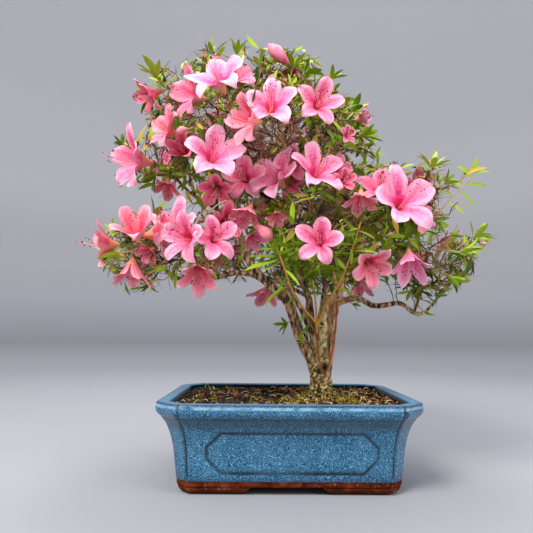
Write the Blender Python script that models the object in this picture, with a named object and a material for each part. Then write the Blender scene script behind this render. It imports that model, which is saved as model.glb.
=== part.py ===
"""An azalea bonsai in its pot, in metres, +Z up.

A glazed rectangular pot with cut corners stands on four feet and holds a low mound of
soil. A short trunk forks just above the soil into four stems, two long low boughs leave
them, and the crown is a set of uneven masses of foliage with open gaps between them.
The origin is the bottom centre of the whole plant's box.
"""

import math
import random

import bmesh
import bpy
from mathutils import Vector
from mathutils.bvhtree import BVHTree

SEED = 41
GAP = 0.00035  # between neighbouring solids
HALF_GAP_MM = GAP * 1000 / 2
MARCH = 0.0004  # step along a limb while its ends are fitted

# ---------------------------------------------------------------- pot sizes
POT_WIDTH = 0.250
POT_DEPTH = 0.200
CORNER_CUT = 0.0224
GROOVE_DEPTH = 0.0012
GROOVE_REACH = 0.0016
# how far the wall stands in from the rim, and its height
OUTER_PROFILE = (
    (0.0270, 0.0000),
    (0.0235, 0.0008),
    (0.0214, 0.0035),
    (0.0202, 0.0070),
    (0.0192, 0.0124),
    (0.0186, 0.0130),
    (0.0174, 0.0240),
    (0.0162, 0.0340),
    (0.0144, 0.0450),
    (0.0126, 0.0520),
    (0.0106, 0.0575),
    (0.0082, 0.0630),
    (0.0054, 0.0670),
    (0.0026, 0.0712),
    (0.0008, 0.0736),
    (0.0000, 0.0760),
    (0.0000, 0.0812),
    (0.0012, 0.0830),
)
INNER_PROFILE = (
    (0.0118, 0.0830),
    (0.0132, 0.0818),
    (0.0140, 0.0760),
    (0.0160, 0.0680),
    (0.0200, 0.0580),
    (0.0224, 0.0480),
    (0.0245, 0.0300),
    (0.0270, 0.0140),
    (0.0310, 0.0115),
)
FOOT_HEIGHT = 0.0072
FRONT_NOTCH_HALF = 0.0350
SIDE_NOTCH_HALF = 0.0240
NOTCH_SLOPE = 0.0040
NOTCH_SHIFT = -0.0027
# heights at which the wall's outline bends inside a panel
WALL_BENDS = (0.024, 0.034, 0.045, 0.052)
PANEL_DEPTH = 0.0012
PANEL_LOW = 0.0200
PANEL_HIGH = 0.0563
PANEL_CLIP = 0.0130
FRONT_PANEL_HALF = 0.0785
SIDE_PANEL_HALF = 0.0500
PANEL_SHIFT = 0.0020

# ---------------------------------------------------------------- soil sizes
SOIL_EDGE_Z = 0.0725
SOIL_ROUGHNESS = 0.0011
MOUND_Z = 0.0795
MOUND_REACH = 0.050
MOUND_FLAT = 0.0175
SOIL_RINGS = 5
SOIL_SIDES = 48

# ---------------------------------------------------------------- trunk sizes
TRUNK_FOOT = (0.0380, 0.0030)
TRUNK_SIDES = 24
# height above the soil's flat top, centre's shift in x, half width, half depth
TRUNK_RINGS = (
    (0.0000, 0.0005, 0.0158, 0.0150),
    (0.0020, 0.0004, 0.0138, 0.0132),
    (0.0050, 0.0002, 0.0122, 0.0118),
    (0.0100, 0.0000, 0.0112, 0.0110),
    (0.0180, -0.0002, 0.0110, 0.0108),
    (0.0250, -0.0005, 0.0118, 0.0112),
    (0.0310, -0.0008, 0.0134, 0.0120),
    (0.0350, -0.0010, 0.0138, 0.0118),
    (0.0385, -0.0010, 0.0110, 0.0092),
    (0.0400, -0.0010, 0.0050, 0.0042),
)
ROOT_LOBES = 5
ROOT_LOBE_SHARE = 0.10

# ---------------------------------------------------------------- limbs
LIMB_SIDES = 10
LIMB_STEP = 0.009
# each limb: what carries it, the way points of its axis, and its radius at each end
LIMBS = {
    "stem_left": (
        "trunk",
        ((36, 1, 104), (29, 0, 118), (21, 0, 131), (14, 0, 146), (8, 0, 163), (2, 0, 181),
         (-10, 0, 194), (-25, 0, 207), (-39, 0, 222), (-47, 0, 239), (-55, -2, 265)),
        (0.0062, 0.0034),
    ),
    "stem_right": (
        "trunk",
        ((39, 4, 104), (44, 5, 116), (46, 6, 130), (49, 6, 151), (53, 6, 174), (58, 6, 190),
         (67, 5, 215), (82, 2, 250), (92, 0, 285)),
        (0.0074, 0.0042),
    ),
    "stem_middle": (
        "trunk",
        ((36, 6, 104), (35, 14, 119), (33, 18, 136), (30, 22, 160), (27, 27, 190),
         (14, 32, 225), (4, 34, 260)),
        (0.0046, 0.0032),
    ),
    "stem_back": (
        "stem_middle",
        ((33, 18, 136), (38, 28, 150), (44, 42, 172), (50, 58, 200), (54, 70, 235)),
        (0.0034, 0.0028),
    ),
    "bough_left": (
        "stem_left",
        ((-22, 0, 204), (-37, -2, 212), (-52, -5, 214), (-68, -10, 211), (-87, -18, 204),
         (-105, -24, 201), (-130, -25, 212), (-150, -25, 235)),
        (0.0032, 0.0020),
    ),
    "bough_right": (
        "stem_right",
        ((55, 6, 181), (69, 1, 185), (81, -5, 186), (96, -10, 178), (110, -14, 179),
         (121, -15, 181), (130, -15, 177), (139, -15, 170), (152, -15, 172), (168, -15, 190)),
        (0.0038, 0.0022),
    ),
}

# ---------------------------------------------------------------- foliage masses
# each mass: its lobes as centre and half sizes, in millimetres; the first is the main one
MASSES = {
    "foliage_upper_left": (
        ((-110, -28, 408), (48, 62, 40)),
        ((-82, -22, 436), (38, 48, 32)),
        ((-142, -26, 410), (26, 34, 24)),
    ),
    "foliage_top": (
        ((-26, -5, 424), (66, 74, 46)),
        ((2, 0, 442), (42, 54, 36)),
        ((-50, 10, 446), (36, 48, 32)),
    ),
    "foliage_upper_right": (
        ((48, -5, 384), (46, 66, 46)),
        ((72, 0, 364), (30, 46, 32)),
    ),
    "foliage_left": (
        ((-132, -38, 338), (50, 54, 32)),
        ((-164, -35, 334), (30, 36, 26)),
    ),
    "foliage_centre": (
        ((-30, -78, 344), (80, 72, 50)),
        ((24, -76, 338), (46, 56, 42)),
    ),
    "foliage_lower_left": (
        ((-144, -25, 234), (58, 76, 36)),
        ((-180, -20, 238), (34, 44, 30)),
        ((-154, -28, 212), (34, 44, 26)),
    ),
    "foliage_lower_middle": (
        ((-72, -62, 256), (50, 66, 36)),
        ((-84, -78, 226), (26, 28, 32)),
    ),
    "foliage_front": (
        ((28, -62, 256), (60, 76, 50)),
        ((66, -70, 240), (34, 40, 38)),
    ),
    "foliage_right_upper": (
        ((132, -38, 292), (60, 86, 42)),
        ((190, -10, 306), (42, 48, 30)),
        ((160, -20, 316), (34, 44, 24)),
    ),
    "foliage_right_lower": (
        ((156, -15, 228), (56, 78, 38)),
        ((196, -5, 232), (30, 48, 34)),
        ((149, -15, 184), (19, 24, 27)),
    ),
    "foliage_core": (
        ((12, 22, 318), (92, 62, 56)),
    ),
    "foliage_back_left": (
        ((-58, 90, 366), (62, 76, 56)),
        ((-80, 84, 388), (42, 54, 40)),
    ),
    "foliage_back_left_low": (
        ((-78, 76, 240), (66, 80, 30)),
        ((-108, 64, 234), (40, 52, 24)),
    ),
    "foliage_back_right": (
        ((90, 86, 314), (74, 80, 54)),
        ((118, 82, 292), (52, 60, 40)),
    ),
    "foliage_back_low": (
        ((48, 82, 242), (78, 74, 42)),
    ),
    "foliage_back_top": (
        ((22, 88, 392), (66, 70, 50)),
    ),
}
BUMPS = 16
BUMP_HEIGHT = 0.085
BUMP_WIDTH = 0.10
MASS_DETAIL = 3

# ---------------------------------------------------------------- colours
LOOKS = {
    "pot": ((0.085, 0.235, 0.400), 0.22),
    "soil": ((0.085, 0.055, 0.030), 0.95),
    "trunk": ((0.330, 0.235, 0.100), 0.85),
    "limb": ((0.280, 0.170, 0.090), 0.80),
    "foliage": ((0.190, 0.300, 0.060), 0.60),
    "blossom": ((0.800, 0.260, 0.360), 0.60),
}
BLOSSOM_MASSES = ("foliage_centre", "foliage_top", "foliage_upper_left", "foliage_left",
                  "foliage_lower_left", "foliage_lower_middle")


# ---------------------------------------------------------------- helpers
def material(name, look):
    """A Principled BSDF of one colour and roughness."""
    colour, roughness = LOOKS[look]
    made = bpy.data.materials.new(name)
    made.use_nodes = True
    shader = made.node_tree.nodes["Principled BSDF"]
    shader.inputs["Base Color"].default_value = (*colour, 1.0)
    shader.inputs["Roughness"].default_value = roughness
    shader.inputs["Metallic"].default_value = 0.0
    made.diffuse_color = (*colour, 1.0)
    return made


def add_object(name, vertices, faces, look=None, smooth=False):
    """A mesh object of these faces, turned to face out."""
    mesh = bpy.data.meshes.new(name)
    mesh.from_pydata([tuple(v) for v in vertices], [], faces)
    work = bmesh.new()
    work.from_mesh(mesh)
    bmesh.ops.recalc_face_normals(work, faces=work.faces)
    bmesh.ops.triangulate(work, faces=[f for f in work.faces if len(f.verts) > 4])
    work.to_mesh(mesh)
    work.free()
    made = bpy.data.objects.new(name, mesh)
    bpy.context.scene.collection.objects.link(made)
    if look:
        mesh.materials.append(material(name, look))
    for polygon in mesh.polygons:
        polygon.use_smooth = smooth
    return made


def loft(rings):
    """Vertices and faces of a closed skin through rings of equal count, capped at both ends."""
    count = len(rings[0])
    vertices = [v for ring in rings for v in ring]
    faces = []
    for r in range(len(rings) - 1):
        for s in range(count):
            t = (s + 1) % count
            faces.append((r * count + s, r * count + t, (r + 1) * count + t, (r + 1) * count + s))
    faces.append(tuple(range(count)))
    last = (len(rings) - 1) * count
    faces.append(tuple(range(last, last + count)))
    return vertices, faces


def at_height(profile, z):
    """The inset of a profile at this height."""
    ordered = sorted((height, inset) for inset, height in profile)
    for (z0, a), (z1, b) in zip(ordered, ordered[1:]):
        if z0 <= z <= z1:
            return a + (b - a) * (z - z0) / max(z1 - z0, 1e-9)
    return ordered[0][1] if z < ordered[0][0] else ordered[-1][1]


def cut_corner_outline(inset, groove):
    """The pot's plan, a rectangle with cut corners, moved in by inset, with grooved corners."""
    half_w = POT_WIDTH / 2 - inset
    half_d = POT_DEPTH / 2 - inset
    cut = CORNER_CUT - inset * (2 - math.sqrt(2))
    corners = []
    for sx, sy, first in ((1, -1, "y"), (1, 1, "x"), (-1, 1, "y"), (-1, -1, "x")):
        on_face = (sx * (half_w - cut), sy * half_d)
        on_side = (sx * half_w, sy * (half_d - cut))
        corners += [on_face, on_side] if first == "y" else [on_side, on_face]
    points = []
    for i, here in enumerate(corners):
        before = Vector(corners[i - 1])
        after = Vector(corners[(i + 1) % len(corners)])
        here = Vector(here)
        back = (before - here).normalized()
        on = (after - here).normalized()
        inward = (back + on).normalized()
        points += [here + back * GROOVE_REACH, here + inward * groove, here + on * GROOVE_REACH]
    return points


def pot_ring(inset, z, groove):
    return [(p.x, p.y, z) for p in cut_corner_outline(inset, groove)]


def apply_modifiers(made):
    """The object's mesh as its modifiers leave it."""
    graph = bpy.context.evaluated_depsgraph_get()
    mesh = bpy.data.meshes.new_from_object(made.evaluated_get(graph))
    made.modifiers.clear()
    made.data = mesh


def cut_away(made, cutters):
    """Booleans each cutter from the object, then removes the cutters."""
    for cutter in cutters:
        cutter.hide_render = True
        cutter.display_type = "WIRE"
        modifier = made.modifiers.new(cutter.name, "BOOLEAN")
        modifier.operation = "DIFFERENCE"
        modifier.solver = "EXACT"
        modifier.object = cutter
    bpy.context.view_layer.update()
    apply_modifiers(made)
    for cutter in cutters:
        bpy.data.objects.remove(cutter)


def panel_cutter(name, half, turn, shift):
    """An eight-sided shallow recess that follows the wall, on the front or turned to a side."""
    reach = POT_DEPTH / 2 if turn % 180 == 0 else POT_WIDTH / 2
    middle = (PANEL_LOW + PANEL_CLIP, PANEL_HIGH - PANEL_CLIP)
    heights = sorted({PANEL_LOW, PANEL_HIGH, *middle, *WALL_BENDS})
    angle = math.radians(turn)
    rings = []
    for z in heights:
        clip = max(middle[0] - z, z - middle[1], 0.0)
        width = half - clip
        back = -reach + at_height(OUTER_PROFILE, z) + PANEL_DEPTH
        front = -reach - 0.004
        ring = []
        for x, y in ((-width, front), (width, front), (width, back), (-width, back)):
            x += shift
            turned = (x * math.cos(angle) - y * math.sin(angle),
                      x * math.sin(angle) + y * math.cos(angle))
            ring.append((*turned, z))
        rings.append(ring)
    return add_object(name, *loft(rings))


def notch_cutter(name, half, along_y, shift):
    """A channel through the foot ring, narrower at its top."""
    reach = 0.2
    rings = []
    for z, width in ((-0.01, half + NOTCH_SLOPE * 3), (FOOT_HEIGHT, half - NOTCH_SLOPE / 2)):
        ring = []
        for u, v in ((-width, -reach), (width, -reach), (width, reach), (-width, reach)):
            u += shift
            ring.append((u, v, z) if along_y else (v, u, z))
        rings.append(ring)
    return add_object(name, *loft(rings))


CURVE_SHARES = 16


def smooth_path(points, step):
    """Even steps along a smooth curve through the points."""
    points = [Vector(p) for p in points]
    padded = [2 * points[0] - points[1], *points, 2 * points[-1] - points[-2]]
    fine = []
    for a, b, c, d in zip(padded, padded[1:], padded[2:], padded[3:]):
        for k in range(CURVE_SHARES):
            t = k / CURVE_SHARES
            fine.append(0.5 * ((2 * b) + (c - a) * t + (2 * a - 5 * b + 4 * c - d) * t * t
                               + (3 * b - a - 3 * c + d) * t * t * t))
    fine.append(points[-1])
    lengths = [0.0]
    for a, b in zip(fine, fine[1:]):
        lengths.append(lengths[-1] + (b - a).length)
    count = max(2, round(lengths[-1] / step))
    path = []
    i = 0
    for k in range(count + 1):
        want = lengths[-1] * k / count
        while i < len(lengths) - 2 and lengths[i + 1] < want:
            i += 1
        share = (want - lengths[i]) / max(lengths[i + 1] - lengths[i], 1e-9)
        path.append(fine[i].lerp(fine[i + 1], min(max(share, 0.0), 1.0)))
    return path


def rings_along(path, radii):
    """Circles carried along a path without twist."""
    side = None
    rings = []
    for i, centre in enumerate(path):
        ahead = (path[min(i + 1, len(path) - 1)] - path[max(i - 1, 0)]).normalized()
        if side is None:
            side = ahead.orthogonal().normalized()
        side = (side - ahead * side.dot(ahead)).normalized()
        other = ahead.cross(side)
        ring = []
        for k in range(LIMB_SIDES):
            angle = 2 * math.pi * k / LIMB_SIDES
            ring.append(centre + radii[i] * (math.cos(angle) * side + math.sin(angle) * other))
        rings.append(ring)
    return rings


# how far out each ring of a half-round end stands and how wide it is, as shares of the radius
ROUND_END = ((0.99, 0.22), (0.85, 0.55), (0.55, 0.84))


def rounded(path, radii):
    """The path and radii with a half-round end added at each end."""
    start = (path[0] - path[1]).normalized()
    end = (path[-1] - path[-2]).normalized()
    new_path = [path[0] + start * radii[0] * out for out, _ in ROUND_END] + list(path)
    new_radii = [radii[0] * size for _, size in ROUND_END] + list(radii)
    new_path += [path[-1] + end * radii[-1] * out for out, _ in reversed(ROUND_END)]
    new_radii += [radii[-1] * size for _, size in reversed(ROUND_END)]
    return new_path, new_radii


def tree_of(made):
    """A search tree of an object's faces."""
    mesh = made.data
    return BVHTree.FromPolygons([v.co for v in mesh.vertices],
                                [tuple(p.vertices) for p in mesh.polygons])


def clearance(tree, point):
    """Distance from a point to a mesh, negative inside it."""
    where, normal, _, distance = tree.find_nearest(point)
    inside = (point - where).dot(normal) < 0
    return -distance if inside else distance


def fitted_limb(name, way_points, ends, carrier, others):
    """A tapering limb from its carrier's surface to the first mass that it meets."""
    path = smooth_path([Vector(p) / 1000 for p in way_points], MARCH)
    share = [i / (len(path) - 1) for i in range(len(path))]
    radii = [ends[0] + (ends[1] - ends[0]) * s for s in share]
    first = 0
    while clearance(carrier, path[first]) < radii[first] + GAP:
        first += 1
    last = first + 1
    while last < len(path) - 1:
        nearest = min(clearance(tree, path[last + 1]) for tree in others)
        if nearest < radii[last + 1] + GAP:
            break
        last += 1
    span = path[first:last + 1]
    sizes = radii[first:last + 1]
    count = max(2, round(len(span) * MARCH / LIMB_STEP))
    picked = [round(k * (len(span) - 1) / count) for k in range(count + 1)]
    new_path, new_radii = rounded([span[k] for k in picked], [sizes[k] for k in picked])
    return add_object(name, *loft(rings_along(new_path, new_radii)), "limb", smooth=True)


def lobe_exit(origin, direction, lobe):
    """How far along a ray from the origin it leaves a lobe, or 0 where it misses."""
    centre, half = lobe
    o = Vector([(origin[k] - centre[k]) / half[k] for k in range(3)])
    d = Vector([direction[k] / half[k] for k in range(3)])
    a = d.dot(d)
    b = o.dot(d)
    c = o.dot(o) - 1
    under = b * b - a * c
    if under <= 0:
        return 0.0
    return max(0.0, (-b + math.sqrt(under)) / a)


def support(lobes, direction, origin):
    """How far the lobes reach from the origin in a direction."""
    reach = 0.0
    for centre, half in lobes:
        along = sum((centre[k] - origin[k]) * direction[k] for k in range(3))
        size = math.sqrt(sum((half[k] * direction[k]) ** 2 for k in range(3)))
        reach = max(reach, along + size)
    return reach * (1 + BUMP_HEIGHT)


def mass_object(name, masses, rng):
    """One uneven mass: bumpy lobes, stopped at flat gaps where it meets its neighbours."""
    lobes = masses[name]
    origin = Vector(lobes[0][0])
    bumps = []
    for _ in range(BUMPS):
        axis = Vector([rng.gauss(0, 1) for _ in range(3)]).normalized()
        bumps.append((axis, rng.uniform(-0.6, 1.0) * BUMP_HEIGHT, rng.uniform(0.6, 1.5) * BUMP_WIDTH))
    planes = []
    for other, their_lobes in masses.items():
        if other == name:
            continue
        across = Vector(their_lobes[0][0]) - origin
        distance = across.length
        across.normalize()
        mine = support(lobes, across, origin)
        theirs = support(their_lobes, -across, Vector(their_lobes[0][0]))
        if mine + theirs > distance:
            planes.append((across, distance * mine / (mine + theirs) - HALF_GAP_MM))
    work = bmesh.new()
    bmesh.ops.create_icosphere(work, subdivisions=MASS_DETAIL, radius=1.0)
    for vertex in work.verts:
        direction = vertex.co.normalized()
        reach = max(lobe_exit(origin, direction, lobe) for lobe in lobes)
        swell = sum(h * math.exp(-(1 - direction.dot(axis)) / w) for axis, h, w in bumps)
        reach *= 1 + max(-BUMP_HEIGHT, min(BUMP_HEIGHT, swell))
        for across, limit in planes:
            facing = direction.dot(across)
            if facing > 1e-6:
                reach = min(reach, limit / facing)
        vertex.co = (origin + direction * reach) / 1000
    vertices = [v.co.copy() for v in work.verts]
    work.verts.index_update()
    faces = [tuple(v.index for v in f.verts) for f in work.faces]
    work.free()
    look = "blossom" if name in BLOSSOM_MASSES else "foliage"
    return add_object(name, vertices, faces, look, smooth=True)


# ---------------------------------------------------------------- pieces
def build_pot():
    rings = [pot_ring(inset, z, GROOVE_DEPTH) for inset, z in OUTER_PROFILE]
    rings += [pot_ring(inset, z, 0.0) for inset, z in INNER_PROFILE]
    pot = add_object("pot", *loft(rings), "pot")
    cut_away(pot, [
        panel_cutter("panel_front", FRONT_PANEL_HALF, 0, PANEL_SHIFT),
        panel_cutter("panel_back", FRONT_PANEL_HALF, 180, 0.0),
        panel_cutter("panel_right", SIDE_PANEL_HALF, 90, 0.0),
        panel_cutter("panel_left", SIDE_PANEL_HALF, 270, 0.0),
        notch_cutter("notch_front", FRONT_NOTCH_HALF, True, NOTCH_SHIFT),
        notch_cutter("notch_side", SIDE_NOTCH_HALF, False, 0.0),
    ])
    return pot


def soil_edge(angle, inset):
    """Distance from the trunk's foot to the soil's outline, in a direction."""
    outline = cut_corner_outline(inset, 0.0)
    foot = Vector(TRUNK_FOOT)
    ray = Vector((math.cos(angle), math.sin(angle)))
    best = 1.0
    for i, a in enumerate(outline):
        b = outline[(i + 1) % len(outline)]
        along = b - a
        cross = ray.x * along.y - ray.y * along.x
        if abs(cross) < 1e-12:
            continue
        off = a - foot
        t = (off.x * along.y - off.y * along.x) / cross
        u = (off.x * ray.y - off.y * ray.x) / cross
        if t > 0 and -1e-6 <= u <= 1 + 1e-6:
            best = min(best, t)
    return best


def build_soil():
    rng = random.Random(SEED + 7)
    sides = []
    for inset, z in reversed(INNER_PROFILE):
        if z <= SOIL_EDGE_Z:
            sides.append((inset + GAP, z))
    sides[0] = (sides[0][0], sides[0][1] + GAP)
    sides.append((at_height(INNER_PROFILE, SOIL_EDGE_Z) + GAP, SOIL_EDGE_Z))
    rings = []
    for inset, z in sides:
        ring = []
        for k in range(SOIL_SIDES):
            angle = 2 * math.pi * k / SOIL_SIDES
            reach = soil_edge(angle, inset)
            ring.append((TRUNK_FOOT[0] + reach * math.cos(angle),
                         TRUNK_FOOT[1] + reach * math.sin(angle), z))
        rings.append(ring)
    edge = rings[-1]
    for r in range(1, SOIL_RINGS + 1):
        ring = []
        for k in range(SOIL_SIDES):
            angle = 2 * math.pi * k / SOIL_SIDES
            out = math.hypot(edge[k][0] - TRUNK_FOOT[0], edge[k][1] - TRUNK_FOOT[1])
            reach = out + (MOUND_FLAT - out) * r / SOIL_RINGS
            near = max(0.0, 1 - (reach - MOUND_FLAT) / MOUND_REACH)
            z = SOIL_EDGE_Z + (MOUND_Z - SOIL_EDGE_Z) * near * near * (3 - 2 * near)
            if r < SOIL_RINGS:
                z += rng.uniform(-1, 1) * SOIL_ROUGHNESS
            ring.append((TRUNK_FOOT[0] + reach * math.cos(angle),
                         TRUNK_FOOT[1] + reach * math.sin(angle), z))
        rings.append(ring)
    return add_object("soil", *loft(rings), "soil")


def build_trunk():
    rings = []
    for rise, shift, half_w, half_d in TRUNK_RINGS:
        flare = max(0.0, 1 - rise / 0.012)
        ring = []
        for k in range(TRUNK_SIDES):
            angle = 2 * math.pi * k / TRUNK_SIDES
            lobe = 1 + ROOT_LOBE_SHARE * flare * math.sin(ROOT_LOBES * angle + 0.8)
            lobe += 0.03 * math.sin(3 * angle + 2.0)
            ring.append((TRUNK_FOOT[0] + shift + half_w * lobe * math.cos(angle),
                         TRUNK_FOOT[1] + half_d * lobe * math.sin(angle),
                         MOUND_Z + GAP + rise))
        rings.append(ring)
    return add_object("trunk", *loft(rings), "trunk", smooth=True)


def main():
    for left_over in list(bpy.data.objects):
        bpy.data.objects.remove(left_over, do_unlink=True)
    build_pot()
    build_soil()
    made = {"trunk": build_trunk()}
    rng = random.Random(SEED)
    masses = [mass_object(name, MASSES, rng) for name in MASSES]
    mass_trees = [tree_of(mass) for mass in masses]
    for name, (carrier, way_points, ends) in LIMBS.items():
        limb = fitted_limb(name, way_points, ends, tree_of(made[carrier]), mass_trees)
        made[name] = limb
    everything = [o for o in bpy.data.objects if o.type == "MESH"]
    corners = [v.co for o in everything for v in o.data.vertices]
    shift = Vector((
        -(min(c.x for c in corners) + max(c.x for c in corners)) / 2,
        -(min(c.y for c in corners) + max(c.y for c in corners)) / 2,
        -min(c.z for c in corners),
    ))
    plant = bpy.data.objects.new("azalea_bonsai", None)
    bpy.context.scene.collection.objects.link(plant)
    plant.location = shift
    for piece in everything:
        piece.parent = plant


main()
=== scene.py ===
"""The looks of an azalea bonsai in a blue glazed pot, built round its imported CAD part.

Sizes are in metres, way points in millimetres, and both are measured in the pot's own
frame: its origin is the middle of the pot's underside, +X is right in the photograph,
+Y is away from the camera and +Z is up. make_piece() moves every mesh to the CAD frame.
"""

import math
from collections import namedtuple

import bpy
import numpy as np
from mathutils import Matrix, Vector
from mathutils.bvhtree import BVHTree
from mathutils.kdtree import KDTree


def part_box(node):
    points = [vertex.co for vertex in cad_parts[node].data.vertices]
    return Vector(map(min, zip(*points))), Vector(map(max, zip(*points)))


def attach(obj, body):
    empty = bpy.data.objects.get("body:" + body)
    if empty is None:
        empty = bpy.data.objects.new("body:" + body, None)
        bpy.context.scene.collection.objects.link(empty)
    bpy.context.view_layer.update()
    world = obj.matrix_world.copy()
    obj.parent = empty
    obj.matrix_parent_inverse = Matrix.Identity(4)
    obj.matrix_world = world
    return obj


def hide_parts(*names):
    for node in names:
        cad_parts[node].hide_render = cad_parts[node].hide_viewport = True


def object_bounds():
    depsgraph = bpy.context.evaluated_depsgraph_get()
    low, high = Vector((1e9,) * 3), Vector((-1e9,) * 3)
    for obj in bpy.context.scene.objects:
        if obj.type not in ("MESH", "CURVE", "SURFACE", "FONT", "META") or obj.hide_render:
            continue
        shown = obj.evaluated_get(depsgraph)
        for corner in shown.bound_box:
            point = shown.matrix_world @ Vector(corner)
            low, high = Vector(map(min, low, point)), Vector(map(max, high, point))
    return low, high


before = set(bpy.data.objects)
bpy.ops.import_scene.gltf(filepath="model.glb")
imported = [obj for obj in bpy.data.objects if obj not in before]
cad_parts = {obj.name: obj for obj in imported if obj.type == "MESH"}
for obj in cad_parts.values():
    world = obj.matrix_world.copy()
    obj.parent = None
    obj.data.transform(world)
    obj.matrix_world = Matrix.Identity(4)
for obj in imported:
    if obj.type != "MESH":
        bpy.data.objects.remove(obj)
cad_low, cad_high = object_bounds()

SEED = 20
pot_low, pot_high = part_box("pot")
POT_AT = np.array([(pot_low.x + pot_high.x) / 2, (pot_low.y + pot_high.y) / 2, pot_low.z])
BOX_LOW = np.array(cad_low) - POT_AT
BOX_HIGH = np.array(cad_high) - POT_AT
TURN = 2 * math.pi
GOLDEN_TURN = math.pi * (3 - math.sqrt(5))

# ---------------------------------------------------------------- camera
CAMERA_AT = np.array([-0.0262, -0.5498, 0.1466])
CAMERA_YAW = math.radians(0.388)
CAMERA_PITCH = math.radians(7.80)
CAMERA_ROLL = math.radians(0.45)
FOCAL_PIXELS = 490.0
PICTURE_PIXELS = 533
SENSOR_MM = 36.0
# distances from the camera between which the crown stands
CROWN_REACH = (0.40, 0.75)

# ---------------------------------------------------------------- stage and lights
STAGE_FLAT = 1.6
STAGE_BEND = 0.7
STAGE_TOP = 3.2
STAGE_SIDES = 64
# each light: place, width, watts and colour
LIGHTS = {
    "key": ((-0.8, -1.1, 1.5), 0.8, 42, (1.0, 0.98, 0.95)),
    "fill": ((1.3, -0.9, 0.9), 1.1, 12, (0.96, 0.98, 1.0)),
    "top": ((0.1, 0.5, 1.9), 0.9, 13, (1.0, 1.0, 1.0)),
}
LIGHTS_AIM = Vector((0.0, 0.0, 0.25))
SKY_COLOUR = (0.93, 0.95, 1.0, 1)
SKY_STRENGTH = 1.45

# ---------------------------------------------------------------- pot sizes
POT_WIDTH = 0.250
POT_DEPTH = 0.200
CORNER_CUT = 0.0224
GROOVE_DEPTH = 0.0017
GROOVE_REACH = 0.0016
# how far the wall stands in from the rim, and its height
OUTER_PROFILE = (
    (0.0300, 0.0000), (0.0262, 0.0006), (0.0230, 0.0024), (0.0211, 0.0052), (0.0209, 0.0062),
    (0.0219, 0.0068), (0.0202, 0.0075), (0.0193, 0.0124), (0.0186, 0.0130), (0.0174, 0.0240),
    (0.0162, 0.0340), (0.0144, 0.0450), (0.0126, 0.0520), (0.0106, 0.0575), (0.0082, 0.0630),
    (0.0054, 0.0670), (0.0026, 0.0712), (0.0008, 0.0736), (0.0000, 0.0760), (0.0000, 0.0812),
    (0.0012, 0.0830),
)
RIM_Z = 0.0830
RIM_EDGE = 0.0022
INNER_PROFILE = (
    (0.0102, 0.0830), (0.0116, 0.0818), (0.0134, 0.0760), (0.0160, 0.0680), (0.0200, 0.0580),
    (0.0224, 0.0480), (0.0245, 0.0300), (0.0270, 0.0140), (0.0310, 0.0115),
)
FOOT_HEIGHT = 0.0072
FRONT_NOTCH_HALF = 0.0350
SIDE_NOTCH_HALF = 0.0240
NOTCH_SHIFT = -0.0027
NOTCH_RAMP = (0.0039, -0.0020)
PANEL_DEPTH = 0.0011
PANEL_LINE = 0.0011
PANEL_LINE_REACH = 0.0015
BEAD_LOW = 0.0698
BEAD_DEPTH = 0.0012
BEAD_RISE = 0.0013
BEAD_ROUND = 0.0035
PANEL_LOW = 0.0200
PANEL_HIGH = 0.0563
PANEL_CLIP = 0.0130
FRONT_PANEL_HALF = 0.0785
SIDE_PANEL_HALF = 0.0500
PANEL_SHIFT = 0.0020
WALL_STEP = 0.00125
PROFILE_STEP = 0.0013
GLAZE_FOOT = 0.0127
# the underside's rings, as shares of the way from its middle to the foot
FLOOR_SHARES = (0.0, 0.25, 0.5, 0.7, 0.85, 0.95, 1.0)

# ---------------------------------------------------------------- soil sizes
SOIL_INSET = 0.0140
SOIL_EDGE_Z = 0.0780
MOUND_Z = 0.0812
MOUND_REACH = 0.050
MOUND_FLAT = 0.0175
# middles of the mossy patches in front of the trunk
MOSS_NEAR = np.array([0.058, -0.030])
MOSS_FAR = np.array([0.010, -0.030])
SOIL_SKIRT = 0.006
CHIPS = 2600
STRAWS = 1150
MOSS_BLADES = 26000
SOIL_SECTORS = 220
SOIL_STEPS = 64

# ---------------------------------------------------------------- wood
TRUNK_FOOT = np.array([0.0380, 0.0030])
# height above the mound's top, centre's shift in x, half width, half depth
TRUNK_RINGS = (
    (-0.0060, 0.0005, 0.0175, 0.0165), (0.0000, 0.0005, 0.0158, 0.0150),
    (0.0020, 0.0004, 0.0138, 0.0132), (0.0050, 0.0002, 0.0122, 0.0118),
    (0.0100, 0.0000, 0.0112, 0.0110), (0.0180, -0.0002, 0.0110, 0.0108),
    (0.0250, -0.0005, 0.0118, 0.0112), (0.0310, -0.0008, 0.0134, 0.0120),
    (0.0350, -0.0010, 0.0138, 0.0118), (0.0385, -0.0010, 0.0110, 0.0092),
    (0.0400, -0.0010, 0.0050, 0.0042),
)
ROOT_LOBES = 5
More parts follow.
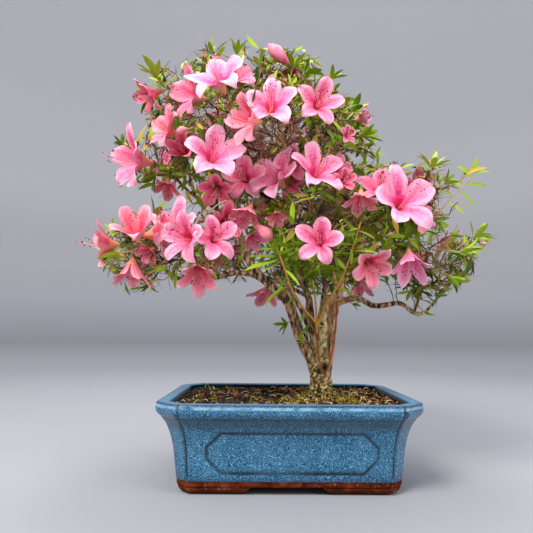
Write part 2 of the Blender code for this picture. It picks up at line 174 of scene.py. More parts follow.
# each limb: way points of its axis in millimetres, and its radius at each end in metres
LIMBS = {
    "stem_left": (((36, 1, 104), (29, 0, 118), (21, 0, 131), (14, 0, 146), (8, 0, 163), (2, 0, 181),
        (-10, 0, 194), (-25, 0, 207), (-39, 0, 222), (-47, 0, 239), (-55, -2, 265)), (0.0062, 0.0034)),
    "stem_right": (((39, 4, 104), (44, 5, 116), (47, 6, 130), (50, 6, 151), (53, 6, 174), (58, 6, 190),
        (67, 5, 215), (82, 2, 250), (92, 0, 285)), (0.0074, 0.0038)),
    "stem_middle": (((36, 6, 104), (35, 14, 119), (33, 18, 136), (30, 22, 160), (27, 27, 190),
        (14, 32, 225), (4, 34, 260)), (0.0046, 0.0030)),
    "stem_back": (((33, 18, 136), (38, 28, 150), (44, 42, 172), (50, 58, 200), (54, 70, 235)),
        (0.0034, 0.0026)),
    "bough_left": (((-22, 0, 204), (-37, -2, 212), (-52, -5, 214), (-68, -10, 211), (-87, -18, 204),
        (-105, -24, 201), (-130, -25, 212), (-150, -25, 235)), (0.0032, 0.0018)),
    "bough_right": (((55, 6, 181), (69, 1, 185), (81, -5, 186), (96, -10, 178), (110, -14, 179),
        (121, -15, 181), (130, -15, 177), (139, -15, 170), (152, -15, 172), (168, -15, 190)),
        (0.0038, 0.0013)),
}
# boughs inside the crown, each growing on from the wood nearest its first way point
CROWN_BOUGHS = {
    "left_leader": (((-55, -2, 265), (-57, -2, 288), (-52, -6, 312), (-46, -10, 345), (-38, -6, 385),
        (-28, -4, 430)), (0.0032, 0.0012)),
    "left_side": (((-57, -2, 272), (-83, -5, 289), (-104, -10, 300), (-119, -18, 312), (-136, -28, 328),
        (-156, -34, 338)), (0.0024, 0.0010)),
    "left_rise": (((-104, -10, 300), (-112, -14, 330), (-114, -20, 365), (-112, -26, 405)),
        (0.0018, 0.0010)),
    "left_crown": (((-46, -10, 345), (-68, -16, 375), (-88, -22, 405), (-98, -24, 432)),
        (0.0018, 0.0010)),
    "front_spread": (((-52, -6, 312), (-42, -30, 325), (-30, -55, 338), (-6, -74, 348)),
        (0.0020, 0.0010)),
    "middle_leader": (((4, 34, 260), (0, 36, 300), (-2, 34, 345), (0, 28, 390), (4, 18, 432)),
        (0.0030, 0.0011)),
    "middle_back": (((0, 36, 300), (-20, 55, 330), (-45, 74, 355), (-64, 88, 385)), (0.0020, 0.0010)),
    "right_leader": (((82, 2, 250), (74, 0, 290), (60, -4, 335), (52, -6, 380), (44, -6, 412)),
        (0.0026, 0.0010)),
    "right_front": (((74, 0, 290), (52, -30, 312), (32, -60, 332)), (0.0018, 0.0010)),
    "right_side": (((92, 0, 285), (115, -14, 298), (145, -22, 305), (180, -14, 312), (204, -8, 320)),
        (0.0026, 0.0010)),
    "right_back": (((54, 70, 235), (70, 78, 265), (88, 84, 300), (98, 86, 340)), (0.0024, 0.0010)),
    "back_low": (((50, 58, 200), (50, 74, 222), (48, 90, 248)), (0.0018, 0.0010)),
    "back_left_low": (((27, 27, 190), (0, 45, 206), (-35, 62, 222), (-75, 75, 236), (-108, 70, 240)),
        (0.0022, 0.0010)),
    "back_top": (((-2, 34, 345), (8, 58, 365), (20, 84, 395)), (0.0018, 0.0010)),
    "right_low": (((168, -15, 190), (183, -12, 208), (198, -6, 229), (206, -4, 250)), (0.0018, 0.0009)),
    "right_low_rise": (((139, -15, 172), (146, -20, 196), (148, -18, 232)), (0.0016, 0.0009)),
    "left_low": (((-150, -25, 235), (-172, -22, 244), (-192, -20, 250)), (0.0016, 0.0009)),
    "left_low_front": (((-105, -24, 201), (-122, -40, 218), (-138, -52, 236)), (0.0015, 0.0009)),
    "middle_low": (((-52, -5, 214), (-62, -30, 232), (-72, -60, 254)), (0.0016, 0.0009)),
    "front_low": (((58, 6, 190), (50, -20, 214), (38, -46, 238), (28, -66, 258)), (0.0020, 0.0010)),
}
WOOD_THICKNESS = 0.0013
# the rotted hollow where the stems part, and the seam above it: middle and reach
HOLLOW_AT = np.array([0.0430, -0.0085, 0.1095])
HOLLOW_SIZE = np.array([0.0052, 0.0080, 0.0044])
SEAM_AT = np.array([0.0470, -0.0080, 0.1330])
SEAM_SIZE = np.array([0.0013, 0.0100, 0.0180])
HOLLOW_DEPTH = 0.0040
SEAM_DEPTH = 0.0020
# the mossy patch above the hollow
MOSS_AT = np.array([0.041, -0.008, 0.119])
MOSS_SIZE = np.array([0.006, 0.012, 0.007])
VOXEL = 0.0009
RIDGE_SIZE = 0.0042
PLATE_SIZE = 0.0095
# how deep the relief is, as a share of the wood's radius
RELIEF = 0.12
# lesser stems that close the fork, joined to the trunk and the limbs by the bark's skin
FORK_STEMS = {
    "inner_left": (((35, 0, 106), (32, -3, 135), (22, -5, 162), (12, -5, 182), (0, -4, 200),
        (-14, -3, 213)), (0.0036, 0.0026)),
    "inner_right": (((38, 0, 106), (40, 0, 139), (42, 1, 165), (49, 4, 188)), (0.0056, 0.0036)),
    "gap_stem": (((31, 2, 120), (26, 2, 133), (16, 1, 155), (7, 0, 177), (-2, -1, 197)),
        (0.0018, 0.0014)),
    "right_edge": (((44, 1, 108), (49, 0, 130), (52, 0, 152), (55, 1, 176), (58, 4, 192)),
        (0.0030, 0.0022)),
}
# fresh shoots that spring from the foot and stand in front of the stems
SHOOTS = {
    "left_shoot": ((33, -10, 148), (32, -13, 154), (30, -17, 160), (12, -30, 180), (2, -45, 196),
        (-6, -60, 216), (-13, -65, 232)),
    "right_shoot": ((33, -10, 148), (33, -13, 154), (35, -17, 162), (45, -30, 184), (54, -45, 201),
        (61, -60, 222), (66, -65, 240), (71, -70, 258)),
    "middle_shoot": ((33, -10, 150), (32, -14, 172), (30, -18, 190), (28, -22, 205)),
}
# two thin reddish shoots that run down the trunk's face and meet under the hollow, as pixels
RUNNERS = (
    ((315, 321), (315, 328), (317, 345), (320, 363), (323, 371), (326, 373)), ((338, 300), (337, 308),
    (335, 332), (333, 347), (330, 362), (327, 370), (325, 373)),
)
# a place at the runners' distance from the camera
RUNNERS_AT = np.array([0.038, -0.0125, 0.125])
# each leaf of the shoots: pixel where it springs, and pixel of its tip
SHOOT_LEAVES = {
    "left_shoot": ((277, 252, 256, 247), (279, 255, 246, 256), (281, 259, 243, 267),
        (280, 257, 284, 239), (284, 262, 296, 240), (279, 255, 268, 241), (283, 261, 262, 270),
        (286, 268, 300, 254), (289, 276, 276, 290), (292, 284, 262, 298), (286, 268, 300, 282),
        (277, 252, 270, 238), (313, 322, 294, 337), (312, 319, 296, 316), (296, 292, 286, 306),
        (279, 256, 292, 246)),
    "right_shoot": ((358, 222, 342, 207), (359, 221, 371, 214), (359, 222, 366, 205),
        (356, 230, 377, 236), (354, 236, 347, 216), (352, 244, 326, 239), (350, 250, 380, 251),
        (347, 258, 372, 262), (341, 276, 364, 274), (343, 271, 322, 262), (336, 286, 322, 270),
        (334, 288, 358, 292), (330, 296, 312, 288), (316, 325, 328, 327), (357, 226, 345, 232),
        (348, 254, 331, 252), (359, 221, 352, 203)),
    "middle_shoot": ((311, 296, 300, 286), (311, 297, 322, 284), (311, 293, 309, 276)),
}
# sprays that stand out against the sky: pixel of the whorl, degrees that it leans to the
# right of upright, how many leaves, their length in mm and their tone
SPRAYS = {
    "top_left": (158, 80, -18, 5, 26, 4),
    "crest_left": (213, 54, -32, 5, 21, 4),
    "crest": (237, 54, 2, 7, 20, 5),
    "crest_right": (260, 66, -6, 6, 19, 5),
    "bud_leaves": (293, 68, 22, 6, 24, 4),
    "bud_leaves_right": (304, 74, 58, 6, 26, 3),
    "shoulder": (352, 112, 62, 7, 22, 3),
    "shoulder_low": (360, 136, 92, 7, 24, 3),
    "right_crown": (432, 168, 18, 8, 22, 4),
    "right_crown_low": (444, 184, 60, 5, 18, 3),
    "right_tip": (474, 238, 62, 7, 22, 5),
    "right_tip_low": (462, 252, 96, 6, 20, 4),
    "right_foot": (450, 278, 120, 6, 18, 4),
    "left_foot": (118, 254, -108, 5, 26, 4),
    "left_under_tip": (156, 176, -150, 6, 22, 3),
    "left_gap": (154, 216, 30, 3, 22, 3),
    "right_middle": (404, 238, 20, 6, 18, 4),
    "notch": (375, 158, 12, 5, 16, 5),
    "stem_tuft": (287, 324, -120, 7, 17, 3),
    "stem_tuft_low": (303, 343, -50, 5, 11, 4),
    "stem_side": (301, 322, -20, 3, 13, 3),
    "fork_low": (318, 348, 20, 4, 10, 5),
    "fork_tuft": (321, 345, 30, 4, 9, 4),
    "bough_tuft": (352, 304, 130, 4, 16, 3),
    "bough_end": (424, 312, 150, 5, 14, 3),
    "bough_twigs": (410, 292, 200, 5, 14, 3),
    "bough_twigs_right": (436, 296, 110, 5, 14, 2),
    "top_right_shoot": (330, 80, 52, 5, 20, 4),
    "left_low": (150, 284, -170, 5, 16, 1),
}
# below this pixel the sprays grow on the stems instead of the crown's skin
STEMS_TOP = 314
# a place at the stems' distance from the camera, and one at the right shoot's
STEMS_AT = np.array([0.02, -0.010, 0.14])
RIGHT_SHOOT_AT = np.array([0.165, -0.012, 0.26])
# the long thin shoot at the right and the pixels of its leaves' tips
RIGHT_SHOOT = ((434, 226), (440, 212), (450, 199), (461, 189), (470, 180), (472, 172))
RIGHT_SHOOT_LEAVES = (
    (471, 175, 477, 157), (470, 178, 461, 163), (472, 174, 493, 167), (464, 186, 489, 183),
    (458, 192, 480, 205), (462, 188, 448, 176), (446, 203, 466, 214), (452, 197, 436, 186),
)

# ---------------------------------------------------------------- growth
TWIG_STEP = 0.0048
TWIG_REACH = 0.050
TWIG_KILL = 0.0085
TWIG_TIP = 0.00058
TWIG_POWER = 2.35
TWIG_ROUNDS = 90
TWIG_WANDER = 0.20
TWIG_RISE = 0.08
MOST_FORKS = 3
MOST_TWIG_POINTS = 40000
# the larger this is, the nearer a mass's skin its growing points lie
SHELL_BIAS = 5.0
# how many growing points each mass gets for each cubic centimetre, and the share of that
# again that lies deeper
TARGET_DENSITY = 0.30
INNER_SHARE = 0.60
INNER_BIAS = 2.0
THIN_MASSES = {
    "foliage_right_lower": 0.75, "foliage_core": 0.45, "foliage_lower_left": 0.9, "foliage_left": 1.2,
    "foliage_upper_left": 1.2, "foliage_top": 1.15,
}

# leaves in a whorl, how far they lean from its axis in degrees, and their length: at the
# twigs' tips, further back and behind each bloom
TIP_LEAVES = (7, (18, 80), (0.010, 0.023))
INNER_LEAVES = (3, (35, 95), (0.009, 0.019))
BLOOM_LEAVES = (5, (48, 92), (0.015, 0.024))
SPRAY_SPREAD = (15, 68)
# the share of tips that bear a bud
BUD_SHARE = 0.035
# how far in from its skin the crown is fully shaded
SHADE_DEPTH = 0.030
# how far leaves may pass the CAD box: a share of its side and a length
SIDE_SPARE = 0.02
LEAF_SPARE = 0.006
# the share of leaves that may stand before a bloom all the same
STRAY_LEAVES = 0.03
MOST_TRIANGLES = 190000

# ---------------------------------------------------------------- what the photograph shows
# the crown's outline, as pixels read from the photograph, clockwise from its left end
CROWN_OUTLINE = (
    (86, 246), (90, 222), (116, 212), (126, 203), (148, 205), (160, 213), (170, 206), (182, 197),
    (200, 203), (208, 206), (196, 200), (176, 198), (160, 194), (146, 186), (126, 193), (110, 170),
    (108, 158), (118, 126), (136, 130), (142, 116), (130, 92), (138, 68), (148, 59), (163, 64),
    (178, 68), (190, 61), (198, 42), (236, 36), (254, 45), (268, 40), (298, 46), (318, 62), (332, 72),
    (341, 94), (364, 102), (371, 116), (370, 130), (384, 143), (374, 154), (398, 160), (414, 163),
    (428, 155), (453, 156), (456, 172), (470, 160), (477, 156), (494, 166), (491, 186), (480, 207),
    (464, 216), (482, 223), (495, 233), (486, 250), (478, 262), (475, 280), (462, 293), (440, 303),
    (428, 312), (404, 300), (386, 296), (362, 300), (330, 306), (290, 312), (274, 308), (258, 300),
    (240, 284), (214, 288), (196, 292), (168, 292), (146, 296), (122, 288), (104, 270),
)
OUTLINE_SLACK = 2.5
# the share of leaves that grow where no window says otherwise
LEAF_SHARE = 0.64
# windows of sky, as left, right, top and bottom pixels
SKY_WINDOWS = {
    "left_edge": (80, 120, 194, 206),
    "left_middle": (118, 168, 189, 204),
    "left_bough": (168, 206, 203, 210),
    "right_low": (356, 402, 294, 304),
    "middle_gap": (300, 310, 204, 216),
}
# where the photograph shows few leaves: the same four pixels, then the shares of the
# leaves and of the twigs that grow there
THIN_WINDOWS = {
    "upper_left_hollow": (196, 236, 94, 128, 0.05, 1.0),
    "upper_middle_hollow": (250, 302, 112, 154, 0.05, 1.0),
    "upper_right_hollow": (300, 340, 120, 140, 0.25, 1.0),
    "left_side": (100, 205, 100, 200, 0.40, 0.9),
    "left_low": (90, 205, 205, 258, 0.35, 0.9),
    "left_under": (130, 206, 258, 300, 0.12, 0.75),
    "bough_view": (206, 262, 196, 290, 0.10, 0.7),
    "middle": (236, 345, 186, 240, 0.40, 1.0),
    "above_bough": (340, 400, 236, 300, 0.45, 1.0),
    "upper_band": (150, 345, 60, 190, 0.50, 1.0),
    "right_top": (440, 494, 150, 218, 0.10, 0.12),
    "right_crest": (404, 440, 150, 190, 0.40, 0.45),
    "right": (400, 480, 218, 300, 0.48, 0.9),
    "stems": (262, 340, 262, 320, 0.70, 0.9),
}
# each bloom: throat's pixel, how deep it sits behind the foliage's face in mm, the way it
# faces (degrees to the right and up), its roll, width in mm, flare in degrees, colour
BLOOMS = {
    "left_tip": (143, 162, 0, -52, 0, 8, 67, 46, "rose"),
    "left_small": (156, 93, 6, -64, -26, 0, 44, 42, "shade"),
    "left_under": (198, 97, 2, -58, 6, 6, 60, 50, "rose"),
    "top_left": (221, 86, 0, -24, 42, -16, 60, 50, "sunlit"),
    "top_left_behind": (235, 80, 24, 28, 36, 0, 50, 54, "rose"),
    "top": (272, 97, 0, -6, 24, 2, 54, 50, "sunlit"),
    "top_dark": (255, 121, 8, -56, -4, 0, 50, 46, "salmon"),
    "top_right": (317, 106, 0, 14, 10, 14, 44, 50, "rose"),
    "right_pale": (358, 119, 10, 66, 6, 0, 28, 36, "sunlit"),
    "right_small": (346, 136, 8, 24, 8, 0, 20, 50, "rose"),
    "upper_salmon": (172, 133, 8, -46, 22, 10, 50, 46, "salmon"),
    "dark_cup": (185, 154, 4, -10, 22, 0, 34, 32, "shade"),
    "centre_left": (212, 160, -2, 22, 30, 4, 58, 50, "sunlit"),
    "centre": (279, 181, -2, -40, 33, 16, 62, 50, "sunlit"),
    "centre_behind": (246, 180, 18, -14, 10, 0, 46, 56, "rose"),
    "centre_peep": (292, 168, 22, -8, 18, 0, 40, 56, "rose"),
    "centre_right": (315, 175, -2, 18, 30, -4, 54, 50, "sunlit"),
    "centre_right_behind": (337, 172, 16, 34, 14, 0, 42, 56, "rose"),
    "right_big": (400, 206, -4, 12, 24, -8, 66, 52, "sunlit"),
    "right_behind": (382, 194, 18, -14, 42, 0, 50, 48, "rose"),
    "right_salmon": (361, 194, 4, -10, -68, 0, 36, 40, "salmon"),
    "right_peep": (416, 214, 20, 62, -8, 0, 42, 50, "salmon"),
    "front": (320, 243, 1, -10, 10, 12, 45, 50, "rose"),
    "front_salmon": (368, 262, 4, 14, -28, 24, 44, 44, "salmon"),
    "front_salmon_low": (361, 280, 4, -12, -70, 0, 38, 34, "salmon"),
    "hanging_bell": (409, 254, -5, -8, -56, 0, 42, 30, "sunlit"),
    "far_left": (113, 245, 6, -70, 2, 0, 52, 46, "salmon"),
    "left_up": (137, 237, 6, 2, 48, 20, 44, 30, "salmon"),
    "left_side": (150, 235, 22, 98, 10, 0, 52, 44, "salmon"),
    "left_behind": (178, 230, 24, -26, 34, 0, 54, 52, "rose"),
    "lower_left": (189, 239, -2, -32, 8, 4, 49, 54, "rose"),
    "lower_middle": (214, 240, -4, 22, 14, -14, 44, 54, "rose"),
    "lower_hanging": (198, 268, 2, 8, -40, 30, 40, 33, "salmon"),
    "far_left_low": (132, 262, 6, 6, -78, 0, 38, 30, "salmon"),
    "stem_behind": (268, 288, 20, -30, -56, 0, 46, 40, "salmon"),
    "inner_red": (250, 208, 12, -34, -50, 0, 34, 34, "salmon"),
    "inner_deep": (217, 188, 16, 0, -30, 0, 36, 48, "shade"),
    "inner_gap": (291, 184, 14, 0, 0, 0, 30, 50, "shade"),
    "inner_right": (343, 182, 8, 10, 10, 0, 24, 44, "shade"),
    "inner_low": (250, 236, 18, 40, -36, 0, 30, 40, "rose"),
    "under_left": (168, 182, 10, -10, -64, 0, 36, 44, "salmon"),
    "low_back_left": (224, 224, 34, 30, 10, 0, 38, 46, "shade"),
    "inner_left": (276, 214, 14, 6, -50, 0, 22, 40, "salmon"),
    "left_inner_low": (152, 250, 18, -30, -30, 0, 28, 40, "salmon"),
}
# closed buds: tip's pixel, pixel of the end that the stalk holds, width in mm, colour
BUDS = {
    "top_bud": (268, 44, 291, 66, 13, "rose"),
    "top_petal": (294, 67, 308, 64, 9, "sunlit"),
    "inner_bud": (272, 240, 255, 223, 12, "salmon"),
    "left_bud": (176, 131, 190, 129, 7, "salmon"),
    "right_bud": (436, 226, 426, 222, 6, "rose"),
}
SIDE_BLOOMS = 46
SIDE_BLOOM_SPACING = 0.040
SIDE_BLOOM_SIZE = (0.042, 0.056)
SIDE_BLOOM_FLARE = (52, 72)
# how far a bloom's stamens reach, as a share of its width, and may pass the CAD box
BLOOM_REACH = 0.60
BLOOM_SPARE = 0.012

# ---------------------------------------------------------------- colours, as 0-255 sRGB
# sunlit and shade are lit and shaded copies of the petals: painted light and shade; salmon is the
# petals' own coral tone, also set on low blooms as painted warm shade
PETAL_TONES = {
    "sunlit": ((226, 50, 122), (242, 86, 146), (250, 116, 166), (254, 140, 182), (255, 160, 196),
        (255, 178, 208), (255, 196, 218)),
    "rose": ((210, 40, 96), (232, 68, 120), (244, 96, 142), (250, 120, 160), (254, 142, 176),
        (255, 162, 190), (255, 182, 204)),
    "salmon": ((212, 46, 78), (232, 76, 104), (244, 102, 126), (250, 124, 144), (253, 142, 160),
        (255, 158, 174), (255, 176, 188)),
    "shade": ((160, 22, 58), (190, 42, 82), (212, 66, 104), (226, 88, 122), (236, 108, 138),
        (244, 128, 154), (250, 148, 170)),
}
TUBE_TONES = {
    "sunlit": (252, 160, 142), "rose": (248, 144, 130), "salmon": (246, 150, 118),
    "shade": (216, 96, 92),
}
# the greens run from dark to bright, partly the leaves' own range and partly painted shade and light;
# the last four are golden, olive, dead brown and dead dark brown
LEAF_TONES = (
    (66, 86, 16), (90, 116, 20), (114, 144, 22), (138, 168, 26), (150, 178, 40), (172, 196, 56),
    (190, 206, 82), (182, 158, 52), (144, 132, 46), (120, 86, 50), (64, 44, 30),
)
GOLDEN, OLIVE, DEAD, SHADED_DEAD = 7, 8, 9, 10
TWIG_TONES = (
    (66, 46, 30), (128, 94, 62), (190, 154, 108), (200, 128, 60), (138, 134, 64), (228, 168, 78),
    (164, 84, 52),
)
STRAW_TONES = (
    (222, 192, 124), (150, 106, 56), (88, 48, 26), (22, 14, 9), (246, 228, 172), (40, 24, 14),
    (14, 9, 6), (112, 66, 34), (190, 160, 66),
)
CHIP_TONES = (
    (12, 8, 6), (44, 24, 14), (104, 58, 32), (6, 4, 3), (160, 116, 76), (78, 38, 20), (8, 6, 4),
)
MOSS_TONES = (
    (74, 96, 22), (138, 144, 42), (216, 196, 100), (38, 52, 14), (104, 128, 32), (170, 140, 66),
    (44, 32, 18), (30, 26, 12),
)


# ---------------------------------------------------------------- small helpers
def linear(colour):
    """A 0-255 sRGB colour as the linear values that shaders take."""
    shares = [c / 255 for c in colour]
    return [s / 12.92 if s <= 0.04045 else ((s + 0.055) / 1.055) ** 2.4 for s in shares]


def unit(vectors):
    vectors = np.asarray(vectors, float)
    return vectors / np.maximum(np.linalg.norm(vectors, axis=-1, keepdims=True), 1e-12)


def smoothstep(low, high, value):
    share = np.clip((value - low) / (high - low), 0, 1)
    return share * share * (3 - 2 * share)


def lattice_value(cell, seed):
    """A repeatable value from -1 to 1 for each whole-number point."""
    h = cell[..., 0].astype(np.uint32) * np.uint32(374761393)
    h += cell[..., 1].astype(np.uint32) * np.uint32(668265263)
    h += cell[..., 2].astype(np.uint32) * np.uint32(2246822519)
    h += np.uint32(seed * 3266489 + 977)
    h = (h ^ (h >> np.uint32(15))) * np.uint32(2246822519)
    h = (h ^ (h >> np.uint32(13))) * np.uint32(3266489917)
    return ((h ^ (h >> np.uint32(16))) & np.uint32(0xFFFFFF)) / 0x7FFFFF - 1.0


def value_noise(points, size, seed):
    """Smooth noise from -1 to 1 whose lumps are about this size."""
    place = np.asarray(points, float) / size
    cell = np.floor(place).astype(np.int64)
    share = place - cell
    share = share * share * (3 - 2 * share)
    total = 0.0
    for corner in np.ndindex(2, 2, 2):
        weight = np.prod(np.where(np.array(corner) == 1, share, 1 - share), axis=-1)
        total = total + weight * lattice_value(cell + np.array(corner), seed)
    return total


def rough_noise(points, size, seed, octaves=3):
    total = 0.0
    for octave in range(octaves):
        total = total + value_noise(points, size / 2 ** octave, seed + octave) / 2 ** octave
    return total / 1.6


def smooth_path(way_points, step):
    """Even steps along a smooth curve through the points."""
    given = np.asarray(way_points, float)
    padded = np.vstack([2 * given[0] - given[1], given, 2 * given[-1] - given[-2]])
    t = np.linspace(0, 1, 24, endpoint=False)[:, None]
    fine = []
    for a, b, c, d in zip(padded, padded[1:], padded[2:], padded[3:]):
        fine.append(0.5 * (2 * b + (c - a) * t + (2 * a - 5 * b + 4 * c - d) * t ** 2
                           + (3 * b - a - 3 * c + d) * t ** 3))
    fine = np.vstack([*fine, given[-1:]])
    along = np.concatenate([[0], np.cumsum(np.linalg.norm(np.diff(fine, axis=0), axis=1))])
    wanted = np.linspace(0, along[-1], max(2, round(along[-1] / step)) + 1)
    return np.stack([np.interp(wanted, along, fine[:, k]) for k in range(3)], axis=1)


def bent_path(start, knee, end):
    """Seven points of a curve that sets out towards the knee and ends coming from it."""
    t = np.linspace(0, 1, 7)[:, None]
    return start * (1 - t) ** 2 + 2 * knee * t * (1 - t) + end * t ** 2


def grid_faces(rows, columns, closed):
    """Quads of a grid of points, joined round if closed."""
    last = columns if closed else columns - 1
    r, c = np.meshgrid(np.arange(rows - 1), np.arange(last), indexing="ij")
    d = (c + 1) % columns
    low = r * columns
    return np.stack([low + c, low + d, low + columns + d, low + columns + c], -1).reshape(-1, 4)


def triangles(quads):
    return np.concatenate([quads[:, [0, 1, 2]], quads[:, [0, 2, 3]]])


class Batch:
    """Triangles gathered from many small shapes, each with its material's number."""

    def __init__(self):
        self.points = []
        self.faces = []
        self.tones = []
        self.count = 0

    def add(self, points, faces, tone):
        self.points.append(np.asarray(points, float).reshape(-1, 3))
        self.faces.append(np.asarray(faces) + self.count)
        self.tones.append(np.broadcast_to(tone, len(faces)))
        self.count += len(self.points[-1])

    def arrays(self):
        return np.vstack(self.points), np.vstack(self.faces), np.concatenate(self.tones)


def add_to_scene(name, data):
    made = bpy.data.objects.new(name, data)
    bpy.context.scene.collection.objects.link(made)
    return made


def mesh_object(name, points, faces, materials=(), tones=0):
    """A smooth mesh object, whose faces all have the same number of corners."""
    mesh = bpy.data.meshes.new(name)
    mesh.vertices.add(len(points))
    mesh.vertices.foreach_set("co", points.astype(np.float32).ravel())
    mesh.loops.add(faces.size)
    mesh.loops.foreach_set("vertex_index", faces.astype(np.int32).ravel())
    mesh.polygons.add(len(faces))
    starts = np.arange(0, faces.size, faces.shape[1], dtype=np.int32)
    mesh.polygons.foreach_set("loop_start", starts)
    for made in materials:
        mesh.materials.append(made)
    numbers = np.broadcast_to(tones, len(faces)).astype(np.int32)
    mesh.polygons.foreach_set("material_index", numbers)
    mesh.polygons.foreach_set("use_smooth", np.ones(len(faces), bool))
    mesh.update(calc_edges=True)
    mesh.validate()
    return add_to_scene(name, mesh)


def triples(items, key, kind):
    """An array of the three values that each of a mesh's items holds."""
    values = np.empty(len(items) * 3, kind)
    items.foreach_get(key, values)
    return values.reshape(-1, 3)


def finder_of(points):
    """A search for the nearest of these points."""
    finder = KDTree(len(points))
    for number, point in enumerate(points):
        finder.insert(point, number)
    finder.balance()
    return finder


def make_piece(name, points, faces, materials, tones=0, attributes=None):
    """A mesh object in the CAD frame that rides on the part's one body."""
    made = mesh_object(name, np.asarray(points, float) + POT_AT, faces, materials, tones)
    for key, values in (attributes or {}).items():
        layer = made.data.attributes.new(key, "FLOAT", "POINT")
        layer.data.foreach_set("value", np.asarray(values, np.float32))
    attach(made, "root")
    return made


# ---------------------------------------------------------------- camera geometry
def camera_axes():
    """The camera's right, up and forward directions."""
    flat = math.cos(CAMERA_PITCH)
    ahead = np.array([math.sin(CAMERA_YAW) * flat, math.cos(CAMERA_YAW) * flat, math.sin(CAMERA_PITCH)])
    level = unit(np.cross(ahead, (0, 0, 1)))
    rise = np.cross(level, ahead)
    cos, sin = math.cos(CAMERA_ROLL), math.sin(CAMERA_ROLL)
    return cos * level + sin * rise, cos * rise - sin * level, ahead


CAMERA_RIGHT, CAMERA_UP, CAMERA_AHEAD = camera_axes()


def pixel_ray(px, py):
    """The direction from the camera through a pixel of the photograph."""
    across = (px - PICTURE_PIXELS / 2) / FOCAL_PIXELS
    down = (py - PICTURE_PIXELS / 2) / FOCAL_PIXELS
    return unit(CAMERA_AHEAD + across * CAMERA_RIGHT - down * CAMERA_UP)


def pixels_of(points):
    """Where points fall in the photograph, and how far off they are."""
    offset = np.asarray(points, float) - CAMERA_AT
    depth = offset @ CAMERA_AHEAD
    px = PICTURE_PIXELS / 2 + FOCAL_PIXELS * (offset @ CAMERA_RIGHT) / depth
    py = PICTURE_PIXELS / 2 - FOCAL_PIXELS * (offset @ CAMERA_UP) / depth
    return px, py, depth


def in_window(px, py, window):
    """True for pixels inside a window: its left, right, top and bottom."""
    left, right, top, bottom = window
    return (px > left) & (px < right) & (py > top) & (py < bottom)


def in_sky(points):
    """True for points that the photograph shows as sky within the crown."""
    px, py, _ = pixels_of(points)
    return np.any([in_window(px, py, window) for window in SKY_WINDOWS.values()], axis=0)


def in_outline(points, rng):
    """True for points inside the crown's outline as the photograph shows it."""
    px, py, _ = pixels_of(points)
    px = px + rng.normal(0, OUTLINE_SLACK, len(px))
    py = py + rng.normal(0, OUTLINE_SLACK, len(px))
    inside = np.zeros(len(px), bool)
    for (ax, ay), (bx, by) in zip(CROWN_OUTLINE, CROWN_OUTLINE[1:] + CROWN_OUTLINE[:1]):
        if ay == by:
            continue
        crosses = (py < ay) != (py < by)
        inside ^= crosses & (px < ax + (py - ay) / (by - ay) * (bx - ax))
    return inside


def growing_share(points, of_twigs=False):
    """The share of leaves, or of twigs, that grow at each point of the photograph."""
    px, py, _ = pixels_of(points)
    share = np.full(len(px), 1.0 if of_twigs else LEAF_SHARE)
    for *window, leaves, twigs in THIN_WINDOWS.values():
        most = np.minimum(share, twigs if of_twigs else leaves)
        share = np.where(in_window(px, py, window), most, share)
    return share


def on_depth(px, py, depth):
    """The point behind a pixel at this distance straight ahead of the camera."""
    ray = pixel_ray(px, py)
    return CAMERA_AT + ray * depth / (ray @ CAMERA_AHEAD)


